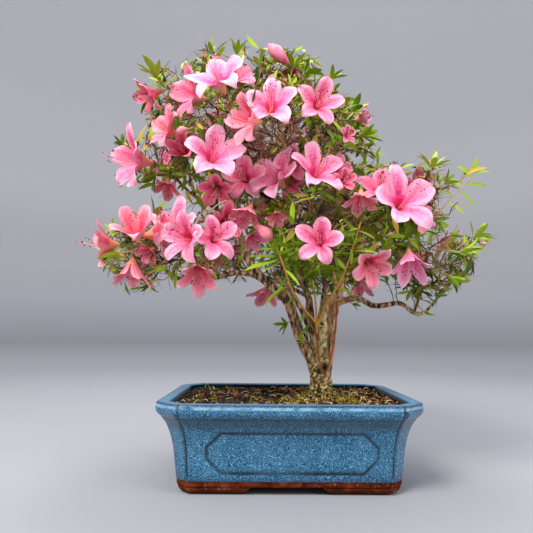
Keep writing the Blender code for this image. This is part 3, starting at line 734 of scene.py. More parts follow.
# ---------------------------------------------------------------- materials
class Finish:
    """One material and short ways to add nodes to it."""

    def __init__(self, name, roughness=0.6):
        self.material = bpy.data.materials.new(name)
        self.material.use_nodes = True
        self.tree = self.material.node_tree
        self.shader = self.tree.nodes["Principled BSDF"]
        self.set(Roughness=roughness)
        self.place = self.node("TexCoord").outputs["Object"]

    def put(self, value, socket):
        """Links a node's output to a socket, or sets the socket to a number or colour."""
        if isinstance(value, bpy.types.NodeSocket):
            self.tree.links.new(value, socket)
        else:
            socket.default_value = value

    def set(self, **inputs):
        """Puts values on the shader's inputs, named with _ for a space."""
        for name, value in inputs.items():
            self.put(value, self.shader.inputs[name.replace("_", " ")])

    def node(self, kind, **inputs):
        """A new node with values on its inputs, named with _ for a space."""
        made = self.tree.nodes.new("ShaderNode" + kind)
        for name, value in inputs.items():
            self.put(value, made.inputs[name.replace("_", " ")])
        return made

    def noise(self, size, detail=3.0, stretch=(1, 1, 1)):
        place = self.node("Mapping", Vector=self.place, Scale=stretch).outputs["Vector"]
        return self.node("TexNoise", Vector=place, Scale=1 / size, Detail=detail).outputs["Fac"]

    def cells(self, size):
        return self.node("TexVoronoi", Vector=self.place, Scale=1 / size).outputs["Distance"]

    def attribute(self, name):
        node = self.node("Attribute")
        node.attribute_name = name
        return node.outputs["Fac"]

    def height(self):
        return self.node("SeparateXYZ", Vector=self.place).outputs["Z"]

    def sum(self, kind, first, second):
        node = self.node("Math")
        node.operation = kind
        self.put(first, node.inputs[0])
        self.put(second, node.inputs[1])
        return node.outputs[0]

    def times(self, first, second):
        return self.sum("MULTIPLY", first, second)

    def plus(self, first, second):
        return self.sum("ADD", first, second)

    def between(self, value, low, high):
        """0 below low, 1 above high and smooth between."""
        node = self.node("MapRange", Value=value, From_Min=low, From_Max=high)
        node.interpolation_type = "SMOOTHSTEP"
        return node.outputs["Result"]

    def ramp(self, value, *stops):
        node = self.node("ValToRGB", Fac=value)
        elements = node.color_ramp.elements
        while len(elements) < len(stops):
            elements.new(0.5)
        for element, (at, colour) in zip(elements, stops):
            element.position = at
            element.color = (*linear(colour), 1)
        return node.outputs["Color"]

    def mix(self, share, first, second):
        """Colours mixed by a share; a tuple is a 0-255 sRGB colour."""
        node = self.node("Mix")
        node.data_type = "RGBA"
        self.put(share, node.inputs["Factor"])
        for value, number in ((first, 6), (second, 7)):
            value = (*linear(value), 1) if isinstance(value, tuple) else value
            self.put(value, node.inputs[number])
        return node.outputs[2]

    def layers(self, colour, *layers):
        """Lays colours over the first, each by its share and its strength."""
        for share, strength, over in layers:
            share = share if strength == 1 else self.times(share, strength)
            colour = self.mix(share, colour, over)
        return colour

    def bump(self, height, depth, strength=1.0):
        node = self.node("Bump", Height=height, Distance=depth, Strength=strength)
        self.set(Normal=node.outputs["Normal"])


def plain(name, colour, roughness=0.6, sheen=0.5):
    """A material of one colour."""
    f = Finish(name, roughness)
    f.set(Base_Color=(*linear(colour), 1), Specular_IOR_Level=sheen)
    return f.material


def plain_set(name, tones, roughness, sheen=0.5):
    return [plain(f"{name}_{n}", tone, roughness, sheen) for n, tone in enumerate(tones)]


def pot_finish():
    """Speckled blue glaze down to an uneven line, and worn bare clay below it. On the glaze, pooling
    with painted shade in the cove, the grooves, the panel outlines and under the bead, painted shade
    over the inner wall, painted light on the rim's top and a painted highlight along the bead.
    """
    f = Finish("glaze_and_clay")
    height = f.height()
    patch = f.noise(0.006)
    # the rim mark paints light on the rim's top, and the inside mark paints shade over the inner wall
    rim, inside = f.attribute("rim"), f.attribute("inside")
    blue = f.ramp(f.noise(0.0010, 2.5), (0.36, (6, 27, 44)), (0.46, (28, 82, 116)),
                  (0.56, (52, 118, 158)), (0.68, (120, 192, 226)))
    lighter = f.ramp(f.noise(0.0009, 2.0), (0.36, (14, 50, 76)), (0.55, (54, 120, 158)),
                     (0.66, (132, 200, 228)))
    streak = f.noise(0.010, 3.0, (1, 1, 0.10))
    # a pale line along the bead's crown: a painted highlight
    crest = f.times(f.between(height, 0.0780, 0.0792), f.between(height, 0.0816, 0.0808))
    crest = f.times(crest, f.between(f.noise(0.012), 0.25, 0.60))
    blue = f.layers(blue, (f.between(f.noise(0.020), 0.42, 0.66), 1, lighter),
        (f.between(patch, 0.54, 0.74), 0.45, (40, 74, 104)),
        (f.between(streak, 0.58, 0.74), 0.35, (36, 62, 88)),
        # in the cove under the rim: painted shade from its overhang, with pooled glaze
        (f.between(height, 0.024, 0.012), 0.50, (34, 56, 80)), (f.attribute("cove_shade_and_pool"), 1, (44, 74, 88)),
        (f.between(f.cells(0.0026), 0.10, 0.03), 1, (148, 192, 214)),
        (crest, 0.60, (168, 204, 226)), (f.attribute("arris"), 1, (30, 56, 84)),
        # near black: pooled glaze with painted shade in the grooves, the panel outlines and under the
        # bead
        (rim, 0.50, (112, 164, 202)), (inside, 1, (15, 27, 40)), (f.attribute("pool_and_shade"), 1, (9, 15, 25)))
    clay = f.ramp(f.noise(0.012, 4.0), (0.30, (60, 20, 8)), (0.50, (96, 38, 16)), (0.72, (138, 68, 36)))
    clay = f.layers(clay, (f.between(f.noise(0.0030), 0.60, 0.72), 0.55, (168, 128, 102)),
                    (f.between(height, 0.0040, 0.0), 1, (52, 26, 18)))
    edge = f.plus(height, f.times(f.noise(0.010), 0.0022))
    glazed = f.between(edge, GLAZE_FOOT + 0.0009, GLAZE_FOOT + 0.0014)
    gloss = f.ramp(patch, (0.3, (110, 110, 110)), (0.7, (140, 140, 140)))
    coated = f.times(glazed, f.between(f.plus(rim, inside), 0.9, 0.1))
    f.set(Base_Color=f.mix(glazed, clay, blue), Roughness=f.mix(glazed, (225, 225, 225), gloss),
          Coat_Weight=f.times(coated, 0.4), Coat_Roughness=0.07,
          Specular_IOR_Level=f.plus(f.times(coated, 0.24), 0.06))
    f.bump(f.plus(f.noise(0.0016), f.noise(0.006, 2.0)), 0.0005, 0.5)
    return f.material


def soil_finish():
    f = Finish("soil_crumb", 0.95)
    colour = f.ramp(f.noise(0.0042, 6.0), (0.44, (2, 2, 1)), (0.55, (9, 6, 4)),
                    (0.62, (60, 40, 26)), (0.74, (132, 98, 62)))
    moss = f.ramp(f.noise(0.0024, 5.0), (0.36, (50, 44, 18)), (0.52, (110, 104, 40)),
                  (0.70, (172, 160, 76)))
    patchy = f.times(f.attribute("moss"), f.between(f.noise(0.006, 4.0), 0.40, 0.56))
    f.set(Base_Color=f.layers(colour, (f.between(f.noise(0.016), 0.58, 0.70), 1, (60, 62, 24)),
                              (patchy, 1, moss)))
    f.bump(f.noise(0.0018, 6.0), 0.0014)
    return f.material


def bark_finish():
    """Flaking bark: tan and brown, redder on one stem, mossy at the foot, dark in cracks, partly its
    own colour and partly painted shade.
    """
    f = Finish("bark", 0.85)
    streak = f.noise(0.0034, 6.0, (1, 1, 0.34))
    colour = f.ramp(streak, (0.37, (34, 22, 15)), (0.45, (120, 86, 56)),
                    (0.55, (190, 150, 106)), (0.66, (236, 206, 160)))
    red = f.ramp(streak, (0.32, (110, 58, 38)), (0.44, (200, 134, 94)), (0.56, (236, 184, 142)),
                 (0.72, (250, 222, 190)))
    pale = f.ramp(f.noise(0.0046, 6.0, (1, 1, 0.5)), (0.40, (50, 32, 18)),
                  (0.46, (172, 136, 84)), (0.54, (234, 204, 148)), (0.68, (252, 234, 190)))
    moss = f.ramp(f.noise(0.0030, 6.0), (0.39, (20, 16, 7)), (0.46, (92, 78, 30)),
                  (0.54, (172, 150, 72)), (0.62, (236, 216, 134)))
    for name, over in (("red", red), ("pale", pale), ("moss", moss), ("crack_and_shade", (22, 14, 10))):
        colour = f.mix(f.attribute(name), colour, over)
    f.set(Base_Color=colour)
    f.bump(f.noise(0.0013, 6.0, (1, 1, 0.5)), 0.0008)
    return f.material


# ---------------------------------------------------------------- pot
def plan_corners(inset):
    """The eight corners of the pot's plan, moved in by inset."""
    half_w = POT_WIDTH / 2 - inset
    half_d = POT_DEPTH / 2 - inset
    cut = CORNER_CUT - inset * (2 - math.sqrt(2))
    near_w, near_d = half_w - cut, half_d - cut
    front = np.array([(-near_w, -half_d), (near_w, -half_d), (half_w, -near_d), (half_w, near_d)])
    return np.vstack([front, -front])


def wall_samples():
    """Where points stand along the plan: the edge's number and the share of its length."""
    corners = plan_corners(0.0)
    near = np.array([0, 0.35, 0.7, 1.05, 1.5, 2.1, 2.9]) * 0.001
    edges = []
    shares = []
    for number in range(8):
        length = np.linalg.norm(corners[(number + 1) % 8] - corners[number])
        even = np.linspace(near[-1], length - near[-1], max(4, round(length / WALL_STEP)))[1:]
        far = (length - near[1:])[::-1]
        places = np.unique(np.round(np.concatenate([near, even, far]), 6))
        shares.append(places / length)
        edges.append(np.full(len(places), number))
    return np.concatenate(edges), np.concatenate(shares)


WALL_EDGES, WALL_SHARES = wall_samples()


def wall_ring(inset, groove):
    """The plan's points moved in by inset, and how far each is from a corner."""
    corners = plan_corners(inset)
    start = corners[WALL_EDGES]
    end = corners[(WALL_EDGES + 1) % 8]
    length = np.linalg.norm(end - start, axis=1)
    points = start + (end - start) * WALL_SHARES[:, None]
    from_corner = np.minimum(WALL_SHARES, 1 - WALL_SHARES) * length
    nearest = np.where(WALL_SHARES < 0.5, WALL_EDGES, WALL_EDGES + 1) % 8
    inward = unit(-corners)[nearest]
    amount = groove * np.exp(-(from_corner / GROOVE_REACH) ** 2)
    return points + inward * amount[:, None], from_corner


def floor_height(x, y):
    """How high the underside stands, over the two channels between the feet."""
    height = np.zeros_like(x)
    for across, half in ((np.abs(x - NOTCH_SHIFT), FRONT_NOTCH_HALF), (np.abs(y), SIDE_NOTCH_HALF)):
        foot, top = NOTCH_RAMP
        share = np.clip((half + foot - across) / (foot - top), 0, 1)
        height = np.maximum(height, share * FOOT_HEIGHT)
    return height


def panel_distance(u, z, half):
    """Distance outside a panel's clipped outline, negative inside it."""
    middle = (PANEL_LOW + PANEL_HIGH) / 2
    tall = (PANEL_HIGH - PANEL_LOW) / 2
    du = np.abs(u) - half
    dz = np.abs(z - middle) - tall
    clipped = (np.abs(u) + np.abs(z - middle) - (half + tall - PANEL_CLIP)) / math.sqrt(2)
    return np.maximum(np.maximum(du, dz), clipped)


def wall_outward():
    """Each wall point's direction straight out of its own side."""
    corners = plan_corners(0.0)
    along = unit(np.roll(corners, -1, axis=0) - corners)
    return np.column_stack([along[:, 1], -along[:, 0]])[WALL_EDGES]


def cut_panels(ring, z, pool_and_shade):
    """Presses the four panels and their outlines into one ring of the wall."""
    outward = wall_outward()
    for number in (0, 2, 4, 6):
        on = WALL_EDGES == number
        half = SIDE_PANEL_HALF if number in (2, 6) else FRONT_PANEL_HALF
        along = ring[on][:, 1 if number in (2, 6) else 0]
        shift = PANEL_SHIFT if number == 0 else 0.0
        away = panel_distance(along - shift, z, half)
        line = np.exp(-(away / PANEL_LINE_REACH) ** 2)
        sunk = PANEL_DEPTH * smoothstep(0.0004, -0.0010, away) + PANEL_LINE * line
        ring[on] -= outward[on] * sunk[:, None]
        # the outline's dark mark is pooled glaze with painted shade, strongest along the lower edge
        # where the shadow falls
        low = 0.90 + 0.10 * smoothstep(0.034, 0.024, z)
        pool_and_shade[on] = np.maximum(pool_and_shade[on], low * np.exp(-(away / (PANEL_LINE_REACH * 0.90)) ** 2))


def pot_rings():
    """The pot's rings with their marks, from the middle of its underside up and over the rim."""
    foot_ring, _ = wall_ring(OUTER_PROFILE[0][0] + 0.003, 0.0)
    for share in FLOOR_SHARES:
        ring = foot_ring * share
        yield np.column_stack([ring, floor_height(ring[:, 0], ring[:, 1])]), {}
    for inset, z, _ in smooth_path([(inset, z, 0) for inset, z in OUTER_PROFILE], PROFILE_STEP):
        yield wall_points(inset, z)
    for inset, z in ((RIM_EDGE, RIM_Z), *INNER_PROFILE):
        ring, _ = wall_ring(inset, 0.0)
        # the rim's top is marked for painted light, and the inner wall for painted shade
        on_top = float(z == RIM_Z)
        inner = np.column_stack([ring, np.full(len(ring), z)])
        yield inner, {"rim": on_top, "inside": 1 - on_top}
    for share in (0.5, 0.0):
        yield inner * (share, share, 1), {"inside": 1.0}


def wall_points(inset, z):
    """One ring of the outer wall, with its panels, its bead and a slight unevenness."""
    ring, from_corner = wall_ring(inset, GROOVE_DEPTH * smoothstep(0.010, 0.016, z))
    # the corner grooves' dark mark: pooled glaze with painted shade
    pool_and_shade = np.exp(-(from_corner / (GROOVE_REACH * 0.75)) ** 2) * smoothstep(0.012, 0.02, z)
    cut_panels(ring, z, pool_and_shade)
    in_bead = smoothstep(BEAD_LOW, BEAD_LOW + BEAD_RISE, z)
    round_end = smoothstep(0.0, BEAD_ROUND, from_corner)
    ring += wall_outward() * (BEAD_DEPTH * in_bead * round_end)[:, None]
    # a dark line under the bead's lower edge: painted shade with pooled glaze
    pool_and_shade = np.maximum(pool_and_shade, 0.55 * np.exp(-((z - BEAD_LOW) / 0.0009) ** 2))
    height = np.maximum(z, floor_height(ring[:, 0], ring[:, 1]))
    points = np.column_stack([ring, height])
    uneven = 0.00030 * value_noise(points, 0.038, 5) + 0.00010 * value_noise(points, 0.011, 6)
    points[:, :2] += unit(points[:, :2]) * uneven[:, None]
    # the cove under the rim: painted shade from its overhang, with pooled glaze
    cove_shade_and_pool = 0.60 * smoothstep(0.0560, 0.0640, z) * smoothstep(0.0712, 0.0690, z)
    return points, {"pool_and_shade": pool_and_shade, "cove_shade_and_pool": cove_shade_and_pool, "arris": 0.72 * smoothstep(0.0812, 0.0824, z)}


def build_pot():
    points = []
    marks = {name: [] for name in ("pool_and_shade", "cove_shade_and_pool", "arris", "rim", "inside")}
    for ring, given in pot_rings():
        points.append(ring)
        for name, values in marks.items():
            values.append(given.get(name, 0.0) + np.zeros(len(ring)))
    faces = triangles(grid_faces(len(points), len(points[0]), True))
    points = np.vstack(points)
    marks = {name: np.concatenate(values) for name, values in marks.items()}
    marks["pool_and_shade"] = np.clip(marks["pool_and_shade"] * (0.95 + 0.30 * value_noise(points, 0.02, 9)), 0, 1)
    pot = make_piece("pot_glazed", points, faces, [pot_finish()], attributes=marks)
    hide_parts("pot")


# ---------------------------------------------------------------- soil
def soil_height(x, y):
    near = np.clip(1 - (from_foot(x, y) - MOUND_FLAT) / MOUND_REACH, 0, 1)
    flat = np.column_stack([x, y, np.zeros_like(x)])
    lumps = 0.0022 * rough_noise(flat, 0.012, 31) + 0.0014 * rough_noise(flat, 0.0045, 32)
    return SOIL_EDGE_Z + (MOUND_Z - SOIL_EDGE_Z) * near * near * (3 - 2 * near) + lumps


def from_foot(x, y):
    """How far a place is from the trunk's foot, seen from above."""
    return np.hypot(x - TRUNK_FOOT[0], y - TRUNK_FOOT[1])


def on_ground(angles, reach):
    """Points on the soil in these directions and so far from the trunk's foot."""
    x = TRUNK_FOOT[0] + reach * np.cos(angles)
    y = TRUNK_FOOT[1] + reach * np.sin(angles)
    return np.column_stack([x, y, soil_height(x, y)])


def soil_edge(angles):
    """Distance from the trunk's foot to the soil's edge in each direction."""
    corners = plan_corners(SOIL_INSET)
    best = np.ones(len(angles))
    ray = np.column_stack([np.cos(angles), np.sin(angles)])
    for number in range(8):
        a = corners[number] - TRUNK_FOOT
        along = corners[(number + 1) % 8] - corners[number]
        cross = ray[:, 0] * along[1] - ray[:, 1] * along[0]
        cross = np.where(np.abs(cross) < 1e-12, 1e-12, cross)
        t = (a[0] * along[1] - a[1] * along[0]) / cross
        u = (a[0] * ray[:, 1] - a[1] * ray[:, 0]) / cross
        hit = (t > 0) & (u >= -1e-6) & (u <= 1 + 1e-6)
        best = np.where(hit, np.minimum(best, t), best)
    return best


def moss_share(points):
    """How mossy the ground is: round the trunk's foot and in two patches before it."""
    x, y = points[:, 0], points[:, 1]
    foot = smoothstep(0.030, 0.014, from_foot(x, y))
    patch = smoothstep(0.022, 0.008, np.hypot(x - MOSS_NEAR[0], (y - MOSS_NEAR[1]) * 0.6))
    wide = smoothstep(0.045, 0.015, np.hypot(x - MOSS_FAR[0], y - MOSS_FAR[1]))
    patch = np.maximum(patch, 0.5 * wide)
    return np.clip(np.maximum(foot, patch) + 0.35 * value_noise(points, 0.009, 41), 0, 1)


def on_soil(count, rng):
    """Random places on the soil."""
    angles = rng.uniform(0, TURN, count)
    return on_ground(angles, soil_edge(angles) * np.sqrt(rng.uniform(0.01, 0.985, count)))


def chips(batch, rng, count):
    """Bits of bark and grit: squashed eight-sided lumps bedded in the soil."""
    shape = np.array([(1, 0, 0), (0, 1, 0), (-1, 0, 0), (0, -1, 0), (0, 0, 1), (0, 0, -1)], float)
    faces = np.array([(0, 1, 4), (1, 2, 4), (2, 3, 4), (3, 0, 4),
                      (1, 0, 5), (2, 1, 5), (3, 2, 5), (0, 3, 5)])
    for place in on_soil(count, rng):
        size = 0.0007 + 0.0030 * rng.uniform(0, 1) ** 2
        size = size * rng.uniform(0.7, 1.3, 3) * (1, 1, 0.7)
        angle = rng.uniform(0, TURN)
        cos, sin = math.cos(angle), math.sin(angle)
        turn = np.array([(cos, -sin, 0), (sin, cos, 0), (0, 0, 1)])
        tilt = rng.normal(0, 0.25, (6, 3))
        batch.add((shape + tilt) * size @ turn.T + place, faces, rng.integers(len(CHIP_TONES)))


def tube(batch, path, radii, tone, sides=5):
    """A tapering tube along a path, closed to a point at its far end."""
    path = np.asarray(path, float)
    ahead = unit(np.gradient(path, axis=0))
    side = unit(np.cross(ahead[0], (0.3, 0.2, 1.0)))
    angle = np.arange(sides) * TURN / sides
    rings = []
    for centre, forward, radius in zip(path, ahead, radii):
        side = unit(side - forward * (side @ forward))
        other = np.cross(forward, side)
        rings.append(centre + radius * (np.cos(angle)[:, None] * side + np.sin(angle)[:, None] * other))
    count = len(path)
    points = np.vstack([*rings, path[-1:] + ahead[-1] * radii[-1]])
    faces = triangles(grid_faces(count, sides, True))
    last = (count - 1) * sides
    cap = [(last + k, last + (k + 1) % sides, count * sides) for k in range(sides)]
    batch.add(points, np.vstack([faces, cap]), tone)


def straws(batch, rng, count):
    """Dry stalks and roots lying about on the soil."""
    t = np.linspace(0, 1, 6)
    for place in on_soil(count, rng):
        heading = rng.uniform(0, TURN)
        length = rng.uniform(0.004, 0.016)
        angle = heading + rng.normal(0, 0.8) * t
        x = place[0] + np.cumsum(np.cos(angle)) * length / 6
        y = place[1] + np.cumsum(np.sin(angle)) * length / 6
        limit = soil_edge(np.arctan2(y - TRUNK_FOOT[1], x - TRUNK_FOOT[0])) - 0.001
        if (from_foot(x, y) > limit).any():
            continue
        arch = (0.0003 + 0.0040 * rng.uniform(0, 1) ** 2) * np.sin(math.pi * t)
        path = np.column_stack([x, y, soil_height(x, y) + 0.0003 + arch])
        thick = rng.uniform(0.00026, 0.00056)
        tube(batch, path, thick * (1 - 0.5 * t), rng.integers(len(STRAW_TONES)), 3)


def moss_blades(batch, rng, count):
    """Short blades wherever the ground is mossy."""
    places = on_soil(count, rng)
    places = places[moss_share(places) > rng.uniform(0.25, 1.0, len(places))]
    for place in places:
        lean = rng.normal(0, 0.5, 2)
        tall = rng.uniform(0.0012, 0.0034)
        wide = rng.uniform(0.0004, 0.0008)
        angle = rng.uniform(0, TURN) + np.arange(3) * TURN / 3
        base = place + np.column_stack([np.cos(angle), np.sin(angle), np.zeros(3)]) * wide
        base[:, 2] -= 0.0004
        tip = place + tall * np.array([lean[0], lean[1], 1.0])
        batch.add(np.vstack([base, tip]), [(0, 1, 3), (1, 2, 3), (2, 0, 3)],
                  rng.integers(len(MOSS_TONES)))


def build_soil():
    rng = np.random.default_rng(SEED + 1)
    angles = np.arange(SOIL_SECTORS) * TURN / SOIL_SECTORS
    edge = soil_edge(angles)
    rings = [on_ground(angles, edge * (k / SOIL_STEPS) ** 0.8) for k in range(SOIL_STEPS + 1)]
    rings.append(rings[-1] - (0, 0, SOIL_SKIRT))
    points = np.vstack(rings)
    faces = triangles(grid_faces(len(rings), SOIL_SECTORS, True))
    bed = make_piece("soil_bed", points, faces, [soil_finish()],
                     attributes={"moss": moss_share(points)})
    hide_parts("soil")
    for name, fill, count, tones in (("soil_chips", chips, CHIPS, CHIP_TONES),
                                     ("soil_straw", straws, STRAWS, STRAW_TONES),
                                     ("soil_moss", moss_blades, MOSS_BLADES, MOSS_TONES)):
        batch = Batch()
        fill(batch, rng, count)
        points, faces, numbers = batch.arrays()
        piece = make_piece(name, points, faces, plain_set(name, tones, 0.9, 0.2), numbers)


# ---------------------------------------------------------------- skeleton
class Skeleton:
    """Points of the plant's axes, each with its parent and, on wood, a radius."""

    def __init__(self):
        self.points = []
        self.parents = []
        self.radii = []

    def add_path(self, way_points, ends):
        """Grows wood through these places in mm, on from the point nearest the first."""
        path = smooth_path(np.array(way_points, float) / 1000, TWIG_STEP)
        radii = np.linspace(*ends, len(path))
        parent = -1
        if self.points:
            parent = np.linalg.norm(np.array(self.points) - path[0], axis=1).argmin()
        first = len(self.points)
        self.parents += [int(parent), *range(first, first + len(path) - 1)]
        self.points += list(path)
        self.radii += list(radii)
        return path, radii


def build_skeleton():
    """The trunk, limbs and crown boughs, and the paths thick enough to be bark."""
    tree = Skeleton()
    foot = (*(TRUNK_FOOT * 1000), MOUND_Z * 1000)
    tree.add_path((foot, (37, 3, 100), (37, 3, 112)), (0.0110, 0.0090))
    wood = []
    for way_points, ends in (*LIMBS.values(), *FORK_STEMS.values(), *CROWN_BOUGHS.values()):
        path, radii = tree.add_path(way_points, ends)
        thick = radii > WOOD_THICKNESS
        if thick.sum() > 2:
            wood.append((path[thick], radii[thick]))
    return tree, wood


def mass_meshes():
    """Every foliage mass of the CAD part: its name, points and triangles."""
    found = {}
    for name, node in sorted(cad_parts.items()):
        if name.startswith("foliage"):
            node.data.calc_loop_triangles()
            points = triples(node.data.vertices, "co", float) - POT_AT
            found[name] = (points, triples(node.data.loop_triangles, "vertices", np.int32))
    return found


def scatter_in(points, faces, rng, density, bias):
    """Random places inside a mass, the thicker near its skin the larger the bias is."""
    centre = points.mean(0)
    corners = points[faces]
    volumes = np.abs(np.einsum("ij,ij->i", corners[:, 0] - centre,
                               np.cross(corners[:, 1] - centre, corners[:, 2] - centre))) / 6
    count = round(volumes.sum() * 1e6 * density)
    picked = rng.choice(len(faces), count, p=volumes / volumes.sum())
    shares = rng.dirichlet((1, 1, 1), count)
    on_skin = np.einsum("ij,ijk->ik", shares, corners[picked])
    depth = rng.uniform(0, 1, count) ** (1 / bias)
    return centre + (on_skin - centre) * depth[:, None] * 0.985


def grow_twigs(tree, targets, rng):
    """Space colonisation: each twig steps towards the targets nearest it until it reaches them."""
    points = np.array(tree.points)
    parents = list(tree.parents)
    children = np.zeros(len(points) + MOST_TWIG_POINTS, int)
    distances = np.linalg.norm(targets[:, None, :] - points[None, :, :], axis=2)
    nearest = distances.argmin(1)
    gap = distances.min(1)
    alive = gap > TWIG_KILL
    reach = np.full(len(targets), TWIG_REACH)
    for _ in range(TWIG_ROUNDS):
        pulling = alive & (gap < reach)
        if not pulling.any():
            if not alive.any():
                break
            reach = reach * 1.3
            continue
        pull = np.zeros((len(points), 3))
        np.add.at(pull, nearest[pulling], unit(targets[pulling] - points[nearest[pulling]]))
        growers = np.unique(nearest[pulling])
        growers = growers[children[growers] < MOST_FORKS]
        if len(growers) == 0:
            alive[pulling] = False
            continue
        ahead = unit(pull[growers]) + rng.normal(0, TWIG_WANDER, (len(growers), 3))
        ahead[:, 2] += TWIG_RISE
        fresh = points[growers] + unit(ahead) * TWIG_STEP
        children[growers] += 1
        first = len(points)
        points = np.vstack([points, fresh])
        parents += list(growers)
        away = np.linalg.norm(targets[:, None, :] - fresh[None, :, :], axis=2)
        closer = away.min(1) < gap
        nearest = np.where(closer, first + away.argmin(1), nearest)
        gap = np.minimum(gap, away.min(1))
        alive &= gap > TWIG_KILL
    return points, np.array(parents)


def twig_radii(tree, parents):
    """Radii by the pipe rule, from the tips down, with the wood's own radii kept."""
    count = len(parents)
    fixed = len(tree.points)
    area = np.zeros(count)
    children = np.zeros(count, int)
    np.add.at(children, parents[parents >= 0], 1)
    for i in range(count - 1, fixed - 1, -1):
        if area[i] == 0:
            area[i] = TWIG_TIP ** TWIG_POWER
        area[parents[i]] += area[i]
    radii = area ** (1 / TWIG_POWER)
    radii[:fixed] = tree.radii
    for i in range(fixed, count):
        radii[i] = min(radii[i], radii[parents[i]] * (0.8 if parents[i] < fixed else 1.0))
    return radii, children


def chains_of(points, parents, radii, fixed):
    """Runs of points from each fork to a tip, following the thickest child."""
    children = [[] for _ in points]
    for i in range(fixed, len(points)):
        children[parents[i]].append(i)
    chains = []
    heads = [c for i in range(fixed) for c in children[i]]
    while heads:
        head = heads.pop()
        chain = [parents[head], head]
        while children[chain[-1]]:
            onward = sorted(children[chain[-1]], key=lambda c: radii[c])
            chain.append(onward[-1])
            heads += onward[:-1]
        chains.append(chain)
    return chains


def add_twigs(batch, points, radii, chains, rng):
    """A tube along each run of twig, eased a little and toned by its thickness."""
    for chain in chains:
        path = points[chain].copy()
        sizes = radii[chain].copy()
        sizes[0] = sizes[1]
        if len(chain) > 3:
            path[1:-1] = (path[:-2] + 2 * path[1:-1] + path[2:]) / 4
        tone = rng.choice([0, 1, 1, 2] if sizes[1] > 0.0010 else [0, 1, 1, 2, 2, 4])
        tube(batch, path, sizes, tone, 5 if sizes[1] > 0.0009 else 4)


# ---------------------------------------------------------------- bark
def closed_tube(path, radii, sides=18):
    """Points and faces of a tube with rounded closed ends."""
    caps = ((0.95, 0.30), (0.6, 0.75))
    first = unit(path[0] - path[1])
    last = unit(path[-1] - path[-2])
    centres = [path[0] + first * radii[0] * out for out, _ in caps]
    sizes = [radii[0] * size for _, size in caps]
    centres += [*path, *[path[-1] + last * radii[-1] * out for out, _ in reversed(caps)]]
    sizes += [*radii, *[radii[-1] * size for _, size in reversed(caps)]]
    batch = Batch()
    tube(batch, centres, sizes, 0, sides)
    points, faces, _ = batch.arrays()
    start = [(0, k + 1, k) for k in range(1, sides - 1)]
    return points, np.vstack([faces, start])


def trunk_shape():
    """The trunk's foot, lobed where its roots spread, up to where the stems part."""
    sides = 48
    angle = np.arange(sides) * TURN / sides
    rings = []
    heights = smooth_path([(rise, 0, 0) for rise, *_ in TRUNK_RINGS], 0.0015)[:, 0]
    table = np.array(TRUNK_RINGS)
    for rise in heights:
        shift, half_w, half_d = (np.interp(rise, table[:, 0], table[:, k]) for k in (1, 2, 3))
        flare = np.clip(1 - rise / 0.012, 0, 1.2)
        lobe = 1 + 0.13 * flare * np.sin(ROOT_LOBES * angle + 0.8)
        lobe = lobe + 0.045 * np.sin(3 * angle + 2.0) + 0.02 * np.sin(7 * angle + rise * 90)
        x = TRUNK_FOOT[0] + shift + half_w * lobe * np.cos(angle)
        y = TRUNK_FOOT[1] + half_d * lobe * np.sin(angle)
        rings.append(np.column_stack([x, y, np.full(sides, MOUND_Z + rise)]))
    points = np.vstack(rings)
    faces = triangles(grid_faces(len(rings), sides, True))
    bottom = [(0, k + 1, k) for k in range(1, sides - 1)]
    top = len(points) - sides
    roof = [(top, top + k, top + k + 1) for k in range(1, sides - 1)]
    return points, np.vstack([faces, bottom, roof])


def wood_skin(wood):
    """One eased skin over the trunk and boughs: its points, normals and triangles."""
    batch = Batch()
    batch.add(*trunk_shape(), 0)
    for path, radii in wood:
        batch.add(*closed_tube(path, radii), 0)
    core = mesh_object("wood_core", *batch.arrays()[:2])
    remesh = core.modifiers.new("skin", "REMESH")
    remesh.mode = "VOXEL"
    remesh.voxel_size = VOXEL
    easing = core.modifiers.new("ease", "SMOOTH")
    easing.factor = 0.5
    easing.iterations = 3
    bpy.context.view_layer.update()
    skin = bpy.data.meshes.new_from_object(
        core.evaluated_get(bpy.context.evaluated_depsgraph_get()))
    bpy.data.objects.remove(core)
    skin.calc_loop_triangles()
    points = triples(skin.vertices, "co", float)
    normals = triples(skin.vertex_normals, "vector", np.float32).astype(float)
    faces = triples(skin.loop_triangles, "vertices", np.int32)
    bpy.data.meshes.remove(skin)
    return points, normals, faces


def bark_places(points, wood):
    """Where each point lies on bark that is rolled along its bough, and the bough's radius."""
    foot = np.array([*TRUNK_FOOT, MOUND_Z - 0.01])
    trunk_path = np.linspace(foot, foot + (0, 0, 0.045), 20)
    paths = [(trunk_path, np.full(20, 0.012)), *wood]
    axis = np.vstack([path for path, _ in paths])
    finder = finder_of(axis)
    near = np.array([finder.find(point)[1] for point in points])
    heading = np.vstack([unit(np.gradient(path, axis=0)) for path, _ in paths])[near]
    size = np.concatenate([radii for _, radii in paths])[near]
    run = np.concatenate([np.arange(len(path)) * TWIG_STEP for path, _ in paths])[near]
    out = points - axis[near]
    along = np.einsum("ij,ij->i", out, heading)
    beside = unit(out - heading * along[:, None])
    return beside * size[:, None] + heading * (run + along)[:, None] * 0.3, size


def lump(points, middle, reach):
    """1 in the middle of a rounded place, falling to 0 round it."""
    return np.exp(-(((points - middle) / reach) ** 2).sum(1))


